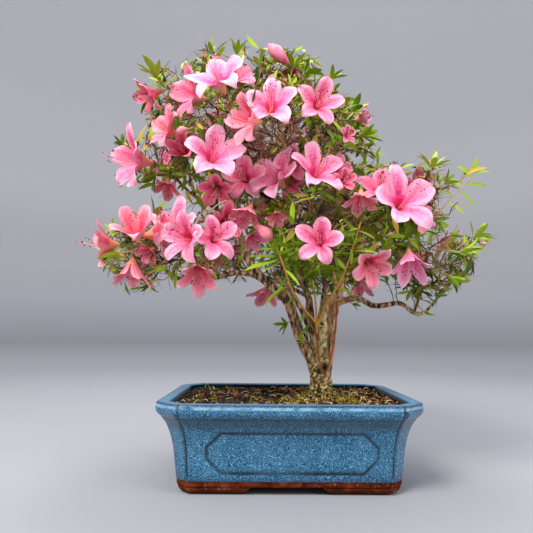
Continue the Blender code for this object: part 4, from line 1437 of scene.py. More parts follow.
def bark_marks(points, size):
    """Where the bark is mossy, where it is red and where it is pale."""
    x, _, z = points.T
    low = smoothstep(0.126, 0.100, z)
    moss = np.clip(low * (0.80 + 0.7 * value_noise(points, 0.008, 71)), 0, 1)
    moss = np.maximum(moss, lump(points, MOSS_AT, MOSS_SIZE) * 0.9)
    thin = smoothstep(0.0045, 0.0025, size)
    moss = np.clip(moss + 0.35 * thin * (value_noise(points, 0.02, 72) > 0.1), 0, 1)
    right = smoothstep(0.007, 0.012, x - 0.034 - 0.06 * (z - 0.11)) * smoothstep(0.104, 0.118, z)
    red = right * smoothstep(0.235, 0.205, z) * smoothstep(0.078, 0.064, x)
    pale = (smoothstep(0.034, 0.038, x) * (1 - right) * smoothstep(0.112, 0.122, z)
            * smoothstep(0.200, 0.175, z))
    return {"moss": moss, "red": red, "pale": pale}


def build_bark(wood):
    """The trunk's and boughs' skin with flaking relief, a rotted hollow and a seam."""
    points, normals, faces = wood_skin(wood)
    place, size = bark_places(points, wood)
    ridges = 1 - 2 * np.abs(rough_noise(place, RIDGE_SIZE, 51, 3))
    plates = rough_noise(place + 3.1, PLATE_SIZE, 61, 2)
    relief = size * RELIEF * ridges + size * RELIEF * plates + 0.00016 * ridges
    hollow = lump(points, HOLLOW_AT, HOLLOW_SIZE)
    seam = lump(points, SEAM_AT, SEAM_SIZE)
    points = points + normals * (relief - HOLLOW_DEPTH * hollow - SEAM_DEPTH * seam)[:, None]
    marks = bark_marks(points, size)
    # darker in the ridges' cracks, the rotted hollow and the seam: partly the bark's own colour, partly
    # painted shade
    marks["crack_and_shade"] = np.clip(smoothstep(0.05, -0.60, ridges) + hollow * 1.3 + seam, 0, 1)
    bark = make_piece("bark_wood", points, faces, [bark_finish()], attributes=marks)
    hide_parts("trunk", *LIMBS)


# ---------------------------------------------------------------- leaves
LEAF_STATIONS = np.array([0.16, 0.40, 0.66, 0.86])
LEAF_WIDTHS = np.array([0.50, 0.98, 0.92, 0.52])


def leaf_faces():
    """Triangles of a leaf: a base point, four rows of left, middle and right, and a tip."""
    faces = [(0, 3, 2), (0, 2, 1)]
    for row in range(3):
        left, middle, right = 1 + row * 3, 2 + row * 3, 3 + row * 3
        faces += [(left, middle, middle + 3), (left, middle + 3, left + 3),
                  (middle, right, right + 3), (middle, right + 3, middle + 3)]
    return np.array([*faces, (10, 11, 13), (11, 12, 13)])


LEAF_FACES = leaf_faces()


def add_leaves(batch, bases, ahead, face_up, lengths, widths, tones, rng):
    """Leaves folded along the midrib and arched along their length."""
    count = len(bases)
    if count == 0:
        return
    ahead = unit(ahead)
    side = unit(np.cross(ahead, face_up))
    up = np.cross(side, ahead)
    droop = rng.uniform(0.02, 0.34, count)
    fold = rng.uniform(0.10, 0.55, count)
    twist = rng.normal(0, 0.25, count)
    shape = np.zeros((count, 14, 3))
    for row, (share, width) in enumerate(zip(LEAF_STATIONS, LEAF_WIDTHS)):
        for column, across in enumerate((-1, 0, 1)):
            spot = 1 + row * 3 + column
            shape[:, spot, 0] = share * lengths
            shape[:, spot, 1] = across * width * widths / 2
            lift = np.abs(across) * width * widths / 2 * fold
            shape[:, spot, 2] = lift - droop * share ** 2 * lengths
            shape[:, spot, 2] += twist * share * across * width * widths / 2
    shape[:, 13, 0] = lengths
    shape[:, 13, 2] = -droop * lengths
    placed = (bases[:, None, :] + shape[..., 0:1] * ahead[:, None, :]
              + shape[..., 1:2] * side[:, None, :] + shape[..., 2:3] * up[:, None, :])
    faces = LEAF_FACES[None] + 14 * np.arange(count)[:, None, None]
    batch.add(placed.reshape(-1, 3), faces.reshape(-1, 3), np.repeat(tones, len(LEAF_FACES)))


def whorl(centres, axes, per, spread, rng):
    """Bases, directions and upper sides of leaves set round each axis."""
    count = len(centres)
    axes = unit(axes)
    first = unit(np.cross(axes, unit(rng.normal(0, 1, (count, 3)))))
    second = np.cross(axes, first)
    angle = GOLDEN_TURN * np.arange(per)[None, :] + rng.uniform(0, TURN, (count, 1))
    angle = angle + rng.normal(0, 0.15, angle.shape)
    lean = np.radians(rng.uniform(*spread, (count, per)))
    around = (np.cos(angle)[..., None] * first[:, None] + np.sin(angle)[..., None] * second[:, None])
    ahead = np.cos(lean)[..., None] * axes[:, None] + np.sin(lean)[..., None] * around
    back = axes[:, None] * rng.uniform(-0.002, 0.0005, (count, per, 1))
    bases = centres[:, None] + back + 0 * ahead
    face_up = axes[:, None] * 1.0 + np.array([0, 0, 0.55]) + 0 * ahead
    return bases.reshape(-1, 3), ahead.reshape(-1, 3), face_up.reshape(-1, 3)


# ---------------------------------------------------------------- blooms
PETAL_NAMES = tuple(PETAL_TONES)
TONES_PER_PETAL = 7
FLOWER_EXTRAS = {
    "filament": (244, 168, 178), "anther": (62, 24, 42), "style": (240, 120, 130),
    "stigma": (150, 60, 50), "spot": (188, 20, 82), "calyx": (116, 132, 48),
    "stalk": (150, 112, 62),
}


def flower_materials():
    """Petal tones of each colour, then a tube tone of each, then the small parts."""
    made = []
    for name, tones in PETAL_TONES.items():
        made += plain_set(f"petal_{name}", tones, 0.55, 0.35)
    made += [plain(f"tube_{name}", tone, 0.6, 0.35) for name, tone in TUBE_TONES.items()]
    made += [plain(name, tone, 0.5) for name, tone in FLOWER_EXTRAS.items()]
    return made


def petal_tone(family, step):
    return PETAL_NAMES.index(family) * TONES_PER_PETAL + step


def tube_tone(family):
    return len(PETAL_NAMES) * TONES_PER_PETAL + PETAL_NAMES.index(family)


def extra_tone(name):
    return len(PETAL_NAMES) * (TONES_PER_PETAL + 1) + list(FLOWER_EXTRAS).index(name)


TUBE_SHARE = 0.34
TUBE_FOOT = -0.64
THROAT_DEPTH = 0.26
FUSED_WIDTH = 0.176
PETAL_HALF = 0.338
# rows along a petal and columns across it
FRONT_GRID = (17, 10)
SIDE_GRID = (13, 7)
# a bud's girth at shares of its length
BUD_PROFILE = ((0, 0.16), (0.12, 0.3), (0.3, 0.62), (0.5, 0.92), (0.7, 1.0), (0.86, 0.72),
               (0.96, 0.34), (1.0, 0.05))
STALK_RADIUS = 0.0007


def corolla_line(v, flare):
    """Radius and height of the corolla at each share of its length, for a half width of 1."""
    slope = 1 / math.tan(math.radians(flare))
    at = np.array([0.0, 0.08, 0.16, 0.25, TUBE_SHARE, 0.46, 0.60, 0.76, 0.90, 1.0])
    radius = np.array([0.070, 0.085, 0.120, 0.185, 0.280, 0.430, 0.610, 0.790, 0.920, 0.985])
    tube_z = np.array([TUBE_FOOT, -0.52, -0.39, -0.25, -0.12])
    out = radius[5:] - radius[4]
    lobe_z = tube_z[-1] + out * slope * 1.05 - 0.24 * out ** 2
    height = np.concatenate([tube_z, lobe_z])
    return np.interp(v, at, radius), np.interp(v, at, height)


def petal_shape(petal, u, v, flare, rng):
    """One petal for a half width of 1: u runs across it, and v from the tube's foot to its tip."""
    v = v[:, None]
    radius, height = corolla_line(v, flare)
    lobe = np.clip((v - TUBE_SHARE) / (1 - TUBE_SHARE), 0, 1)
    middle = math.pi / 2 + petal * TURN / 5 + rng.normal(0, 0.06)
    widest = PETAL_HALF * rng.uniform(0.90, 1.12) * (0.94 if petal in (2, 3) else 1.06)
    width = np.where(v <= TUBE_SHARE, radius * math.pi / 5, FUSED_WIDTH + (widest - FUSED_WIDTH)
                     * np.sin(np.minimum(lobe / 0.42, 1) * math.pi / 2))
    width = width * (1 - np.clip((lobe - 0.44) / 0.56, 0, 1) ** 1.75) ** 0.80
    stretch = rng.uniform(0.90, 1.10) * (1.06 if petal == 0 else 1.0)
    lift = rng.normal(0, 0.07)
    curl = rng.uniform(0.02, 0.26) + (0.22 if petal in (2, 3) else 0)
    phase = rng.uniform(0, TURN, 2)
    cup = rng.uniform(-0.35, 0.50)
    twist = rng.normal(0, 0.16)
    reach = radius * (1 + (stretch - 1) * lobe) + 0 * u
    across = width * u
    ruffle = 0.070 * np.sin(7.5 * lobe + phase[0] + 1.2 * u) * np.abs(u) ** 2
    ruffle = ruffle + 0.022 * np.sin(14 * lobe + 5 * u + phase[1]) * np.abs(u)
    crease = 0.030 * np.exp(-(u / 0.22) ** 2) * smoothstep(0.02, 0.35, lobe)
    out = (height + lobe * (lift + ruffle + twist * across) + cup * across ** 2 * lobe * 2
           - curl * lobe ** 3 + 0.012 * u * smoothstep(0.0, 0.3, lobe) - crease)
    angle = middle + across / np.maximum(reach, 1e-6)
    return np.stack([reach * np.cos(angle), reach * np.sin(angle), out], -1)


def petal_tones(petal, u, v, family, rng):
    """A tone for each patch of a petal: deep at the throat, blotched and veined."""
    v = (v[:-1, None] + v[1:, None]) / 2 + 0 * u[:-1]
    u = (u[:-1] + u[1:])[None, :] / 2 + 0 * v
    deep = (v - TUBE_SHARE) / (1 - TUBE_SHARE)
    streak = np.exp(-(u / 0.42) ** 2) * (deep < 0.66)
    blotch = (0.42 if petal == 0 else 0.24 if petal in (1, 4) else 0.06) * streak
    pale = 0.40 + 0.52 * deep + 0.16 * np.abs(u) ** 1.5 - blotch * (1 - deep)
    pale = pale + 0.07 * np.cos(u * 9.0) * (deep < 0.85) + rng.normal(0, 0.03, pale.shape)
    step = np.clip(pale * TONES_PER_PETAL, 0, TONES_PER_PETAL - 1).astype(int)
    return np.where(v < TUBE_SHARE * 0.90, tube_tone(family), petal_tone(family, step)).ravel()


def add_bloom(batch, bloom, rng):
    """One flower: five joined petals, a dark throat, stamens, a style and a calyx.

    Returns the place where its tube ends and the stalk begins.
    """
    rows, columns = FRONT_GRID if bloom.in_front else SIDE_GRID
    half = bloom.size / 2
    z_axis = unit(bloom.facing)
    y_axis = unit(bloom.up - z_axis * (bloom.up @ z_axis))
    turn = np.column_stack([np.cross(y_axis, z_axis), y_axis, z_axis])
    lobe = np.sin(np.linspace(0, math.pi / 2, rows - 4))
    v = np.concatenate([np.linspace(0, TUBE_SHARE, 5)[:-1], TUBE_SHARE + (1 - TUBE_SHARE) * lobe])
    u = np.linspace(-1, 1, columns + 1)
    faces = triangles(grid_faces(rows, columns + 1, False))

    def placed(shape):
        return shape.reshape(-1, 3) @ turn.T + bloom.centre

    for petal in range(5):
        shape = petal_shape(petal, u, v, bloom.flare, rng) * half
        tone = petal_tones(petal, u, v, bloom.family, rng)
        batch.add(placed(shape), faces, np.concatenate([tone, tone]))
        if petal in (0, 1, 4):
            add_spots(batch, shape, u, v, placed, 11 if petal == 0 else 5, rng)
    add_throat(batch, bloom, placed)
    add_stamens(batch, half, placed, rng)
    base = bloom.centre + turn @ np.array([0, 0, TUBE_FOOT * half])
    tube(batch, [base + z_axis * 0.0030, base, base - z_axis * 0.0022],
         [half * 0.105, half * 0.10, 0.0008], extra_tone("calyx"), 6)
    return base - z_axis * 0.0015


def add_spots(batch, shape, u, v, placed, count, rng):
    """Small dark flecks lying on a petal near the throat."""
    rows = np.flatnonzero((v > TUBE_SHARE * 1.15) & (v < 0.80))
    for _ in range(count):
        row = rng.choice(rows[:-1])
        column = int(np.clip(len(u) / 2 + rng.normal(0, 1.2), 1, len(u) - 3))
        a = shape[row, column]
        b = shape[row + 1, column]
        c = shape[row, column + 1]
        along = unit(b - a)
        across = unit(c - a - along * ((c - a) @ along))
        out = np.cross(across, along)
        out = out if out[2] > 0 else -out
        wide = rng.uniform(0.00030, 0.00055)
        spot = a + (b - a) * rng.uniform(0.2, 0.8) + (c - a) * rng.uniform(0.2, 0.8)
        corners = [spot + along * wide * 1.4, spot + across * wide, spot - along * wide * 1.4,
                   spot - across * wide, spot + out * 0.0004]
        batch.add(placed(np.array(corners)), [(0, 1, 4), (1, 2, 4), (2, 3, 4), (3, 0, 4)],
                  extra_tone("spot"))


def add_throat(batch, bloom, placed):
    """The deep-coloured lining of the corolla's tube, orange-red at its foot, where the shaded tube
    tone is painted shade.
    """
    v = np.linspace(0.08, TUBE_SHARE * 1.02, 6)
    radius, height = corolla_line(v, bloom.flare)
    angle = np.arange(15) * TURN / 15
    gap = 0.035 * (1 - v / v[-1]) + 0.004
    inner = (radius - gap)[:, None] + 0 * angle
    shape = np.stack([inner * np.cos(angle), inner * np.sin(angle),
                      height[:, None] + 0.006 + 0 * angle], -1) * (bloom.size / 2)
    upper = np.sin(angle + TURN / 30) > 0.1
    rows = [np.full(15, tube_tone("shade"))] * 2
    for level in range(2, 5):
        rows.append(petal_tone(bloom.family, np.where(upper, max(level - 3, 0), level - 1)))
    tone = np.concatenate(rows)
    batch.add(placed(shape), triangles(grid_faces(6, 15, True)), np.concatenate([tone, tone]))


def add_stamens(batch, half, placed, rng):
    """Stamens that leave the throat low and curve up, and a longer style."""
    count = int(rng.integers(6, 9))
    fan = rng.uniform(0, TURN)
    for number in range(count + 1):
        is_style = number == count
        angle = fan + number * TURN / count
        reach = rng.uniform(0.10, 0.34) * (0.5 if is_style else 1)
        far = rng.uniform(0.50, 0.82) + (0.24 if is_style else 0)
        end = np.array([math.cos(angle) * reach, math.sin(angle) * reach * 0.8 + 0.06, far])
        start = np.array([math.cos(angle) * 0.03, math.sin(angle) * 0.03, -0.45])
        knee = np.array([end[0] * 0.35, end[1] * 0.2 - 0.16, far * 0.45])
        path = placed(bent_path(start, knee, end) * half)
        tip = unit(path[-1] - path[-2])
        thick, long, wide = (0.00038, 0.0005, 0.0006) if is_style else (0.00026, 0.0010, 0.00050)
        stem, head = ("style", "stigma") if is_style else ("filament", "anther")
        tube(batch, path, np.full(7, thick), extra_tone(stem), 3)
        body = [path[-1] - tip * long, path[-1] - tip * long * 0.5, path[-1] + tip * long * 0.6]
        tube(batch, body, [wide * 0.4, wide, wide * 0.9], extra_tone(head), 5)


def add_bud(batch, foot, tip, width, family, rng):
    """A closed bud: petals rolled round each other into a pointed spindle."""
    axis = tip - foot
    length = np.linalg.norm(axis)
    z_axis = axis / length
    x_axis = unit(np.cross(z_axis, (0.2, 0.9, 0.4)))
    y_axis = np.cross(z_axis, x_axis)
    sides = 10
    angle = np.arange(sides) * TURN / sides
    ridged = 1 + 0.14 * np.cos(5 * angle)
    rings = []
    for share, fat in BUD_PROFILE:
        turned = angle + 1.4 * share
        radius = fat * width / 2 * (1 + (ridged - 1) * fat)
        rings.append(foot + z_axis * share * length + (radius * np.cos(turned))[:, None] * x_axis
                     + (radius * np.sin(turned))[:, None] * y_axis)
    step = np.repeat([1, 2, 3, 4, 4, 3, 2], sides) + (rng.uniform(0, 1, 7 * sides) > 0.6)
    tone = petal_tone(family, np.minimum(step, TONES_PER_PETAL - 1))
    tone[:sides] = extra_tone("calyx")
    batch.add(np.vstack(rings), triangles(grid_faces(len(rings), sides, True)),
              np.concatenate([tone, tone]))


def stalk(batch, finder, start, leaving, seek):
    """A curved stalk from a flower back to the twig nearest a place."""
    held, _, _ = finder.find(seek)
    far = np.linalg.norm(np.array(held) - start)
    path = bent_path(start, start + unit(leaving) * far * 0.5, np.array(held))
    tube(batch, path, np.full(7, STALK_RADIUS), extra_tone("stalk"), 5)


# ---------------------------------------------------------------- the crown
Bloom = namedtuple("Bloom", "centre facing up size flare family in_front")


def crown_skin(masses):
    """The corners of every foliage triangle, and one searchable skin of them all."""
    points = np.vstack([points for points, _ in masses.values()])
    starts = np.cumsum([0, *(len(points) for points, _ in masses.values())])
    faces = np.vstack([faces + start for (_, faces), start in zip(masses.values(), starts)])
    return points[faces], BVHTree.FromPolygons(points.tolist(), faces.tolist())


def photographed_blooms(skin):
    """The blooms of the table, each set back from its pixel by its own depth."""
    blooms = []
    for px, py, sink, yaw, pitch, roll, size, flare, family in BLOOMS.values():
        facing = turned(yaw, pitch)
        centre = crown_point(skin, px, py) + pixel_ray(px, py) * sink / 1000
        centre = keep_in_box(centre + facing * THROAT_DEPTH * size / 2000, facing, size / 1000)
        roll = math.radians(roll)
        up = CAMERA_UP * math.cos(roll) + CAMERA_RIGHT * math.sin(roll)
        if abs(pitch) > 55:
            up = up - CAMERA_AHEAD * math.copysign(1.5, pitch)
        blooms.append(Bloom(centre, facing, up, size / 1000, flare, family, True))
    return blooms


def add_side_blooms(blooms, corners, skin, rng):
    """More blooms by rule on the sides, top and back, where the photograph shows none."""
    normals = np.cross(corners[:, 1] - corners[:, 0], corners[:, 2] - corners[:, 0])
    areas = np.linalg.norm(normals, axis=1)
    normals = unit(normals)
    wanted = len(blooms) + SIDE_BLOOMS
    for index in rng.choice(len(corners), 6000, p=areas / areas.sum()):
        if len(blooms) == wanted:
            break
        out = normals[index]
        place = corners[index].mean(0)
        if out @ unit(CAMERA_AT - place) > -0.05 or out[2] < -0.40:
            continue
        size = rng.uniform(*SIDE_BLOOM_SIZE)
        centre = place - out * size * 0.16
        beyond = place + out * 0.006
        where, normal, _, _ = skin.find_nearest(beyond)
        if (np.array(where) - beyond) @ np.array(normal) > 0:
            continue
        if min(np.linalg.norm(centre - bloom.centre) for bloom in blooms) < SIDE_BLOOM_SPACING:
            continue
        facing = unit(out + rng.normal(0, 0.25, 3) + (0, 0, 0.25))
        if not hidden_from_front(skin, centre, facing, size):
            continue
        centre = keep_in_box(centre, facing, size)
        high = smoothstep(0.22, 0.40, place[2])
        family = rng.choice(PETAL_NAMES, p=[0.15 + 0.4 * high, 0.45 - 0.15 * high,
                                            0.32 - 0.2 * high, 0.08 - 0.05 * high])
        up = np.array([0, 0, 1.0]) + rng.normal(0, 0.3, 3)
        flare = rng.uniform(*SIDE_BLOOM_FLARE)
        blooms.append(Bloom(centre, facing, up, size, flare, str(family), False))


# ---------------------------------------------------------------- the crown
def keep_in_box(centre, facing, size):
    """Moves a bloom back so that its stamens stay within the CAD part's box and a little over."""
    reach = centre + facing * size * BLOOM_REACH
    over = np.maximum(reach - (BOX_HIGH + BLOOM_SPARE), 0)
    return centre - over + np.maximum(BOX_LOW - BLOOM_SPARE - reach, 0)


def hidden_from_front(skin, centre, facing, size):
    """True if the crown stands between the camera and the whole of a bloom."""
    for right, up in ((0, 0), (1, 0), (-1, 0), (0, 1), (0, -1)):
        place = centre + (facing * 0.3 + CAMERA_RIGHT * right * 0.6 + CAMERA_UP * up * 0.6) * size
        ray = unit(place - CAMERA_AT)
        hit, _, _, reach = skin.ray_cast(Vector(CAMERA_AT), Vector(ray))
        if hit is None or reach > np.linalg.norm(place - CAMERA_AT) - 0.03:
            return False
    return True


def turned(yaw, pitch):
    """A direction so many degrees right of and above the way to the camera."""
    yaw = math.radians(yaw)
    pitch = math.radians(pitch)
    level = math.sin(yaw) * CAMERA_RIGHT - math.cos(yaw) * CAMERA_AHEAD
    return unit(math.cos(pitch) * level + math.sin(pitch) * CAMERA_UP)


def crown_point(skin, px, py):
    """Where a pixel's ray meets the foliage, or passes nearest to it."""
    ray = pixel_ray(px, py)
    hit, _, _, _ = skin.ray_cast(Vector(CAMERA_AT), Vector(ray))
    if hit is not None:
        return np.array(hit)
    places = CAMERA_AT + ray * np.arange(*CROWN_REACH, 0.005)[:, None]
    return min(places, key=lambda place: skin.find_nearest(Vector(place))[3])


def clear_of_blooms(points, blooms, share):
    """True for points that neither lie in a bloom's mouth nor hide it from the camera."""
    keep = np.ones(len(points), bool)
    px, py, depth = pixels_of(points)
    for bloom in blooms:
        size, facing = bloom.size, bloom.facing
        away = points - bloom.centre
        along = away @ facing
        beside = np.linalg.norm(away - along[:, None] * facing, axis=1)
        keep &= ~((along > -0.05 * size) & (along < 0.75 * size) & (beside < 0.40 * size))
        if bloom.in_front and facing @ CAMERA_AHEAD < -0.35:
            bloom_x, bloom_y, bloom_depth = pixels_of(bloom.centre + facing * size * 0.12)
            wide = FOCAL_PIXELS * size / 2 / bloom_depth
            near = np.hypot(px - bloom_x, py - bloom_y) < wide * share
            keep &= ~(near & (depth < bloom_depth + 0.004))
    return keep


def in_size(points):
    """True for points within the CAD part's box and a little over."""
    spare = SIDE_SPARE * (BOX_HIGH - BOX_LOW) + LEAF_SPARE
    return ((points > BOX_LOW - spare) & (points < BOX_HIGH + spare)).all(1)


def leaf_tones(places, rng, shade):
    """A tone for each spray: bright on top and outside as painted light, darker deeper in as painted
    shade, dead within, partly standing in for shade, with golden ones.
    """
    patch = value_noise(places, 0.030, 81)
    bright = 3.3 + 1.3 * patch + rng.normal(0, 1.0, len(places)) - 2.4 * shade
    bright = bright + 1.0 * smoothstep(0.30, 0.45, places[:, 2])
    tones = np.clip(np.round(bright), 0, 6).astype(int)
    draw = rng.uniform(0, 1, len(places))
    tones = np.where(draw < 0.08 + 0.14 * (patch > 0.25), GOLDEN, tones)
    tones = np.where((draw > 0.84) & (shade > 0.2), OLIVE, tones)
    # dead leaves set by depth in the crown, partly standing in for its shade
    dead = rng.uniform(0.35, 1.1, len(places)) < shade
    return np.where(dead, np.where(draw < 0.55, SHADED_DEAD, DEAD), tones)


def depth_in_crown(skin, points):
    """How far inside the foliage's skin points lie, as a share of SHADE_DEPTH."""
    found = [skin.find_nearest(Vector(p))[3] for p in points]
    return np.clip(np.array(found) / SHADE_DEPTH, 0, 1)


def split_by_triangles(points, faces, tones):
    """Cuts a long list of faces into lists under the limit, each with its own points."""
    for first in range(0, len(faces), MOST_TRIANGLES):
        some = slice(first, first + MOST_TRIANGLES)
        used, inverse = np.unique(faces[some], return_inverse=True)
        yield points[used], inverse.reshape(-1, 3), tones[some]


def growth_targets(masses, blooms, rng):
    """The places that the twigs grow towards, ending with the foot of each bloom."""
    targets = []
    for name, (points, faces) in masses.items():
        density = TARGET_DENSITY * THIN_MASSES.get(name, 1.0)
        targets.append(scatter_in(points, faces, rng, density, SHELL_BIAS))
        targets.append(scatter_in(points, faces, rng, density * INNER_SHARE, INNER_BIAS))
    targets = np.vstack(targets)
    targets = targets[~in_sky(targets) & in_outline(targets, rng)]
    targets = targets[rng.uniform(0, 1, len(targets)) < growing_share(targets, True)]
    targets = targets[clear_of_blooms(targets, blooms, 0.9)]
    return np.vstack([targets, *(b.centre - b.facing * 0.37 * b.size for b in blooms)])


def add_flower(batch, leaves, bloom, blooms, finder, rng):
    """A bloom on its stalk, with a whorl of leaves behind it."""
    base = add_bloom(batch, bloom, rng)
    stalk(batch, finder, base, -bloom.facing, base - bloom.facing * 0.004)
    tones = leaf_tones(base[None], rng, np.array([0.1]))
    scatter_leaves(leaves, (base - bloom.facing * 0.002)[None], bloom.facing[None],
                   *BLOOM_LEAVES, tones, blooms, rng)


def add_front_buds(batch, skin, finder, rng):
    """The buds of the table, each between its two pixels."""
    for tip_x, tip_y, foot_x, foot_y, width, family in BUDS.values():
        foot = crown_point(skin, foot_x, foot_y)
        tip = on_depth(tip_x, tip_y, (foot - CAMERA_AT) @ CAMERA_AHEAD)
        add_bud(batch, foot, tip, width / 1000, family, rng)
        stalk(batch, finder, foot, foot - tip, foot)


def add_side_buds(batch, points, parents, tips, rng):
    """Small buds on a few of the twigs' tips."""
    for index in tips[rng.uniform(0, 1, len(tips)) < BUD_SHARE]:
        ahead = unit(points[index] - points[parents[index]] + (0, 0, 0.002))
        long = rng.uniform(0.007, 0.013)
        family = PETAL_NAMES[int(rng.integers(1, 3))]
        add_bud(batch, points[index], points[index] + ahead * long, long * 0.36, family, rng)


def build_crown():
    rng = np.random.default_rng(SEED)
    masses = mass_meshes()
    corners, skin = crown_skin(masses)
    blooms = photographed_blooms(skin)
    add_side_blooms(blooms, corners, skin, rng)
    tree, wood = build_skeleton()
    build_bark(wood)
    points, parents = grow_twigs(tree, growth_targets(masses, blooms, rng), rng)
    radii, children = twig_radii(tree, parents)
    fixed = len(tree.points)
    grown = np.arange(len(points)) >= fixed
    twigs, leaves = Batch(), Batch()
    add_twigs(twigs, points, radii, chains_of(points, parents, radii, fixed), rng)
    shade = depth_in_crown(skin, points)
    add_stubs(twigs, points, parents, np.where(grown, shade, -9), rng)
    tips = np.flatnonzero((children == 0) & grown)
    tips = tips[clear_of_blooms(points[tips], blooms, 0.95)]

    def grow_leaves(at, per, spread, length):
        tones = leaf_tones(points[at], rng, shade[at])
        scatter_leaves(leaves, points[at], points[at] - points[parents[at]], per, spread,
                       length, tones, blooms, rng)

    grow_leaves(tips, *TIP_LEAVES)
    behind = np.unique(np.concatenate([parents[tips], parents[parents[tips]]]))
    behind = behind[(behind >= fixed) & (shade[behind] < rng.uniform(0.2, 1.2, len(behind)))]
    grow_leaves(behind, *INNER_LEAVES)
    finder = finder_of(points[fixed:])
    front, sides = Batch(), Batch()
    for bloom in blooms:
        add_flower(front if bloom.in_front else sides, leaves, bloom, blooms, finder, rng)
    add_front_buds(front, skin, finder, rng)
    add_side_buds(sides, points, parents, tips, rng)
    add_shoots(twigs, leaves, rng)
    add_runners(twigs)
    add_right_shoot(twigs, leaves, finder, rng)
    add_sprays(twigs, leaves, skin, finder, rng)
    petals = flower_materials()
    for name, batch, materials, slot in (
            ("twigs", twigs, plain_set("twig", TWIG_TONES, 0.8, 0.3), "bark"),
            ("leaves", leaves, plain_set("leaf", LEAF_TONES, 0.50, 0.22), "leaves"),
            ("blooms_front", front, petals, "blossom"), ("blooms_sides", sides, petals, "blossom")):
        for number, cut in enumerate(split_by_triangles(*batch.arrays())):
            some_points, some_faces, some_tones = cut
            piece = make_piece(f"{name}_{number + 1}", some_points, some_faces, materials, some_tones)
            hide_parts(*sorted(masses))


def scatter_leaves(batch, centres, axes, per, spread, length, tones, blooms, rng, slim=0.24,
                   trim=True):
    """Whorls of leaves at these places, without those that would hide a bloom."""
    if len(centres) == 0:
        return
    bases, ahead, face_up = whorl(centres, axes, per, spread, rng)
    ahead = unit(ahead + (0, 0, 0.10))
    long = rng.uniform(*length, len(bases))
    wide = long * rng.uniform(slim * 0.8, slim * 1.25, len(bases))
    tips = bases + ahead * long[:, None]
    keep = in_size(tips)
    if trim:
        keep &= in_outline(tips, rng) & ~in_sky(tips)
        keep &= rng.uniform(0, 1, len(tips)) < growing_share(tips)
    if len(blooms):
        stray = rng.uniform(0, 1, len(tips)) < STRAY_LEAVES
        keep &= clear_of_blooms(tips, blooms, 0.85) | stray
    shift = rng.choice([-1, 0, 0, 0, 1], len(bases))
    each = np.repeat(tones, per)
    each = np.where(each >= GOLDEN, each, np.clip(each + shift, 0, 6))
    add_leaves(batch, bases[keep], ahead[keep], face_up[keep], long[keep], wide[keep], each[keep], rng)


def single_leaf(batch, foot, tip, width, tone, rng):
    """One leaf from a foot to a tip, with its upper side towards the light."""
    along = tip - foot
    add_leaves(batch, foot[None], unit(along)[None], np.array([[-0.2, -0.9, 1.0]]),
               np.array([np.linalg.norm(along)]), np.array([width]), np.array([tone]), rng)


def nearest_place(path, px, py):
    """The path's point nearest a pixel, and its distance straight ahead of the camera."""
    across, down, depth = pixels_of(path)
    near = int(np.argmin(np.hypot(across - px, down - py)))
    return path[near], depth[near]


def add_shoots(twigs, leaves, rng):
    """The fresh shoots in front of the stems, with their leaves where the photograph has them."""
    for name, way_points in SHOOTS.items():
        path = smooth_path(np.array(way_points, float) / 1000, 0.003)
        forward = 0.034 * smoothstep(0.160, 0.215, path[:, 2])
        path = path + unit(CAMERA_AT - path) * forward[:, None]
        radii = np.interp(path[:, 2], [0.14, 0.16, 0.26], [0.0014, 0.0012, 0.0007])
        tube(twigs, path, radii, 5, 7)
        for foot_x, foot_y, tip_x, tip_y in SHOOT_LEAVES[name]:
            foot, depth = nearest_place(path, foot_x, foot_y)
            tip = on_depth(tip_x, tip_y, depth + rng.uniform(-0.014, 0.002))
            width = np.linalg.norm(tip - foot) * rng.uniform(0.17, 0.24)
            single_leaf(leaves, foot, tip, width, int(rng.integers(2, 6)), rng)


def add_runners(twigs):
    """The two thin reddish shoots on the trunk's face."""
    _, _, depth = pixels_of(RUNNERS_AT)
    for pixels in RUNNERS:
        path = smooth_path([on_depth(px, py, depth) for px, py in pixels], 0.002)
        path = path + (0, 0.0025, 0) * smoothstep(0.110, 0.100, path[:, 2])[:, None]
        tube(twigs, path, np.full(len(path), 0.00085), 6, 6)


def add_right_shoot(twigs, leaves, finder, rng):
    """The long thin shoot that stands out at the right."""
    _, _, depth = pixels_of(RIGHT_SHOOT_AT)
    way_points = [on_depth(px, py, depth) for px, py in RIGHT_SHOOT]
    start, _, _ = finder.find(way_points[0])
    path = smooth_path([np.array(start), *way_points], 0.003)
    tube(twigs, path, np.linspace(0.0010, 0.0005, len(path)), 2, 5)
    for foot_x, foot_y, tip_x, tip_y in RIGHT_SHOOT_LEAVES:
        foot, _ = nearest_place(path, foot_x, foot_y)
        tip = on_depth(tip_x, tip_y, depth + rng.uniform(-0.006, 0.006))
        width = np.linalg.norm(tip - foot) * 0.30
        single_leaf(leaves, foot, tip, width, int(rng.integers(3, 5)), rng)


def add_sprays(twigs, leaves, skin, finder, rng):
    """The whorls that stand out on the crown's outline, each on its own twig."""
    _, _, stem_depth = pixels_of(STEMS_AT)
    for px, py, lean, per, long, tone in SPRAYS.values():
        centre = on_depth(px, py, stem_depth) if py > STEMS_TOP else crown_point(skin, px, py)
        lean = math.radians(lean)
        axis = unit(math.sin(lean) * CAMERA_RIGHT + math.cos(lean) * CAMERA_UP - 0.25 * CAMERA_AHEAD)
        held = np.array(finder.find(centre - axis * 0.012)[0])
        knee = centre - axis * np.linalg.norm(centre - held) * 0.5
        tube(twigs, bent_path(held, knee, centre), np.linspace(0.0008, 0.0005, 7), 2, 5)
        scatter_leaves(leaves, centre[None], axis[None], per, SPRAY_SPREAD,
                       (long * 0.00080, long * 0.00108), np.array([tone]), [], rng, 0.25, False)


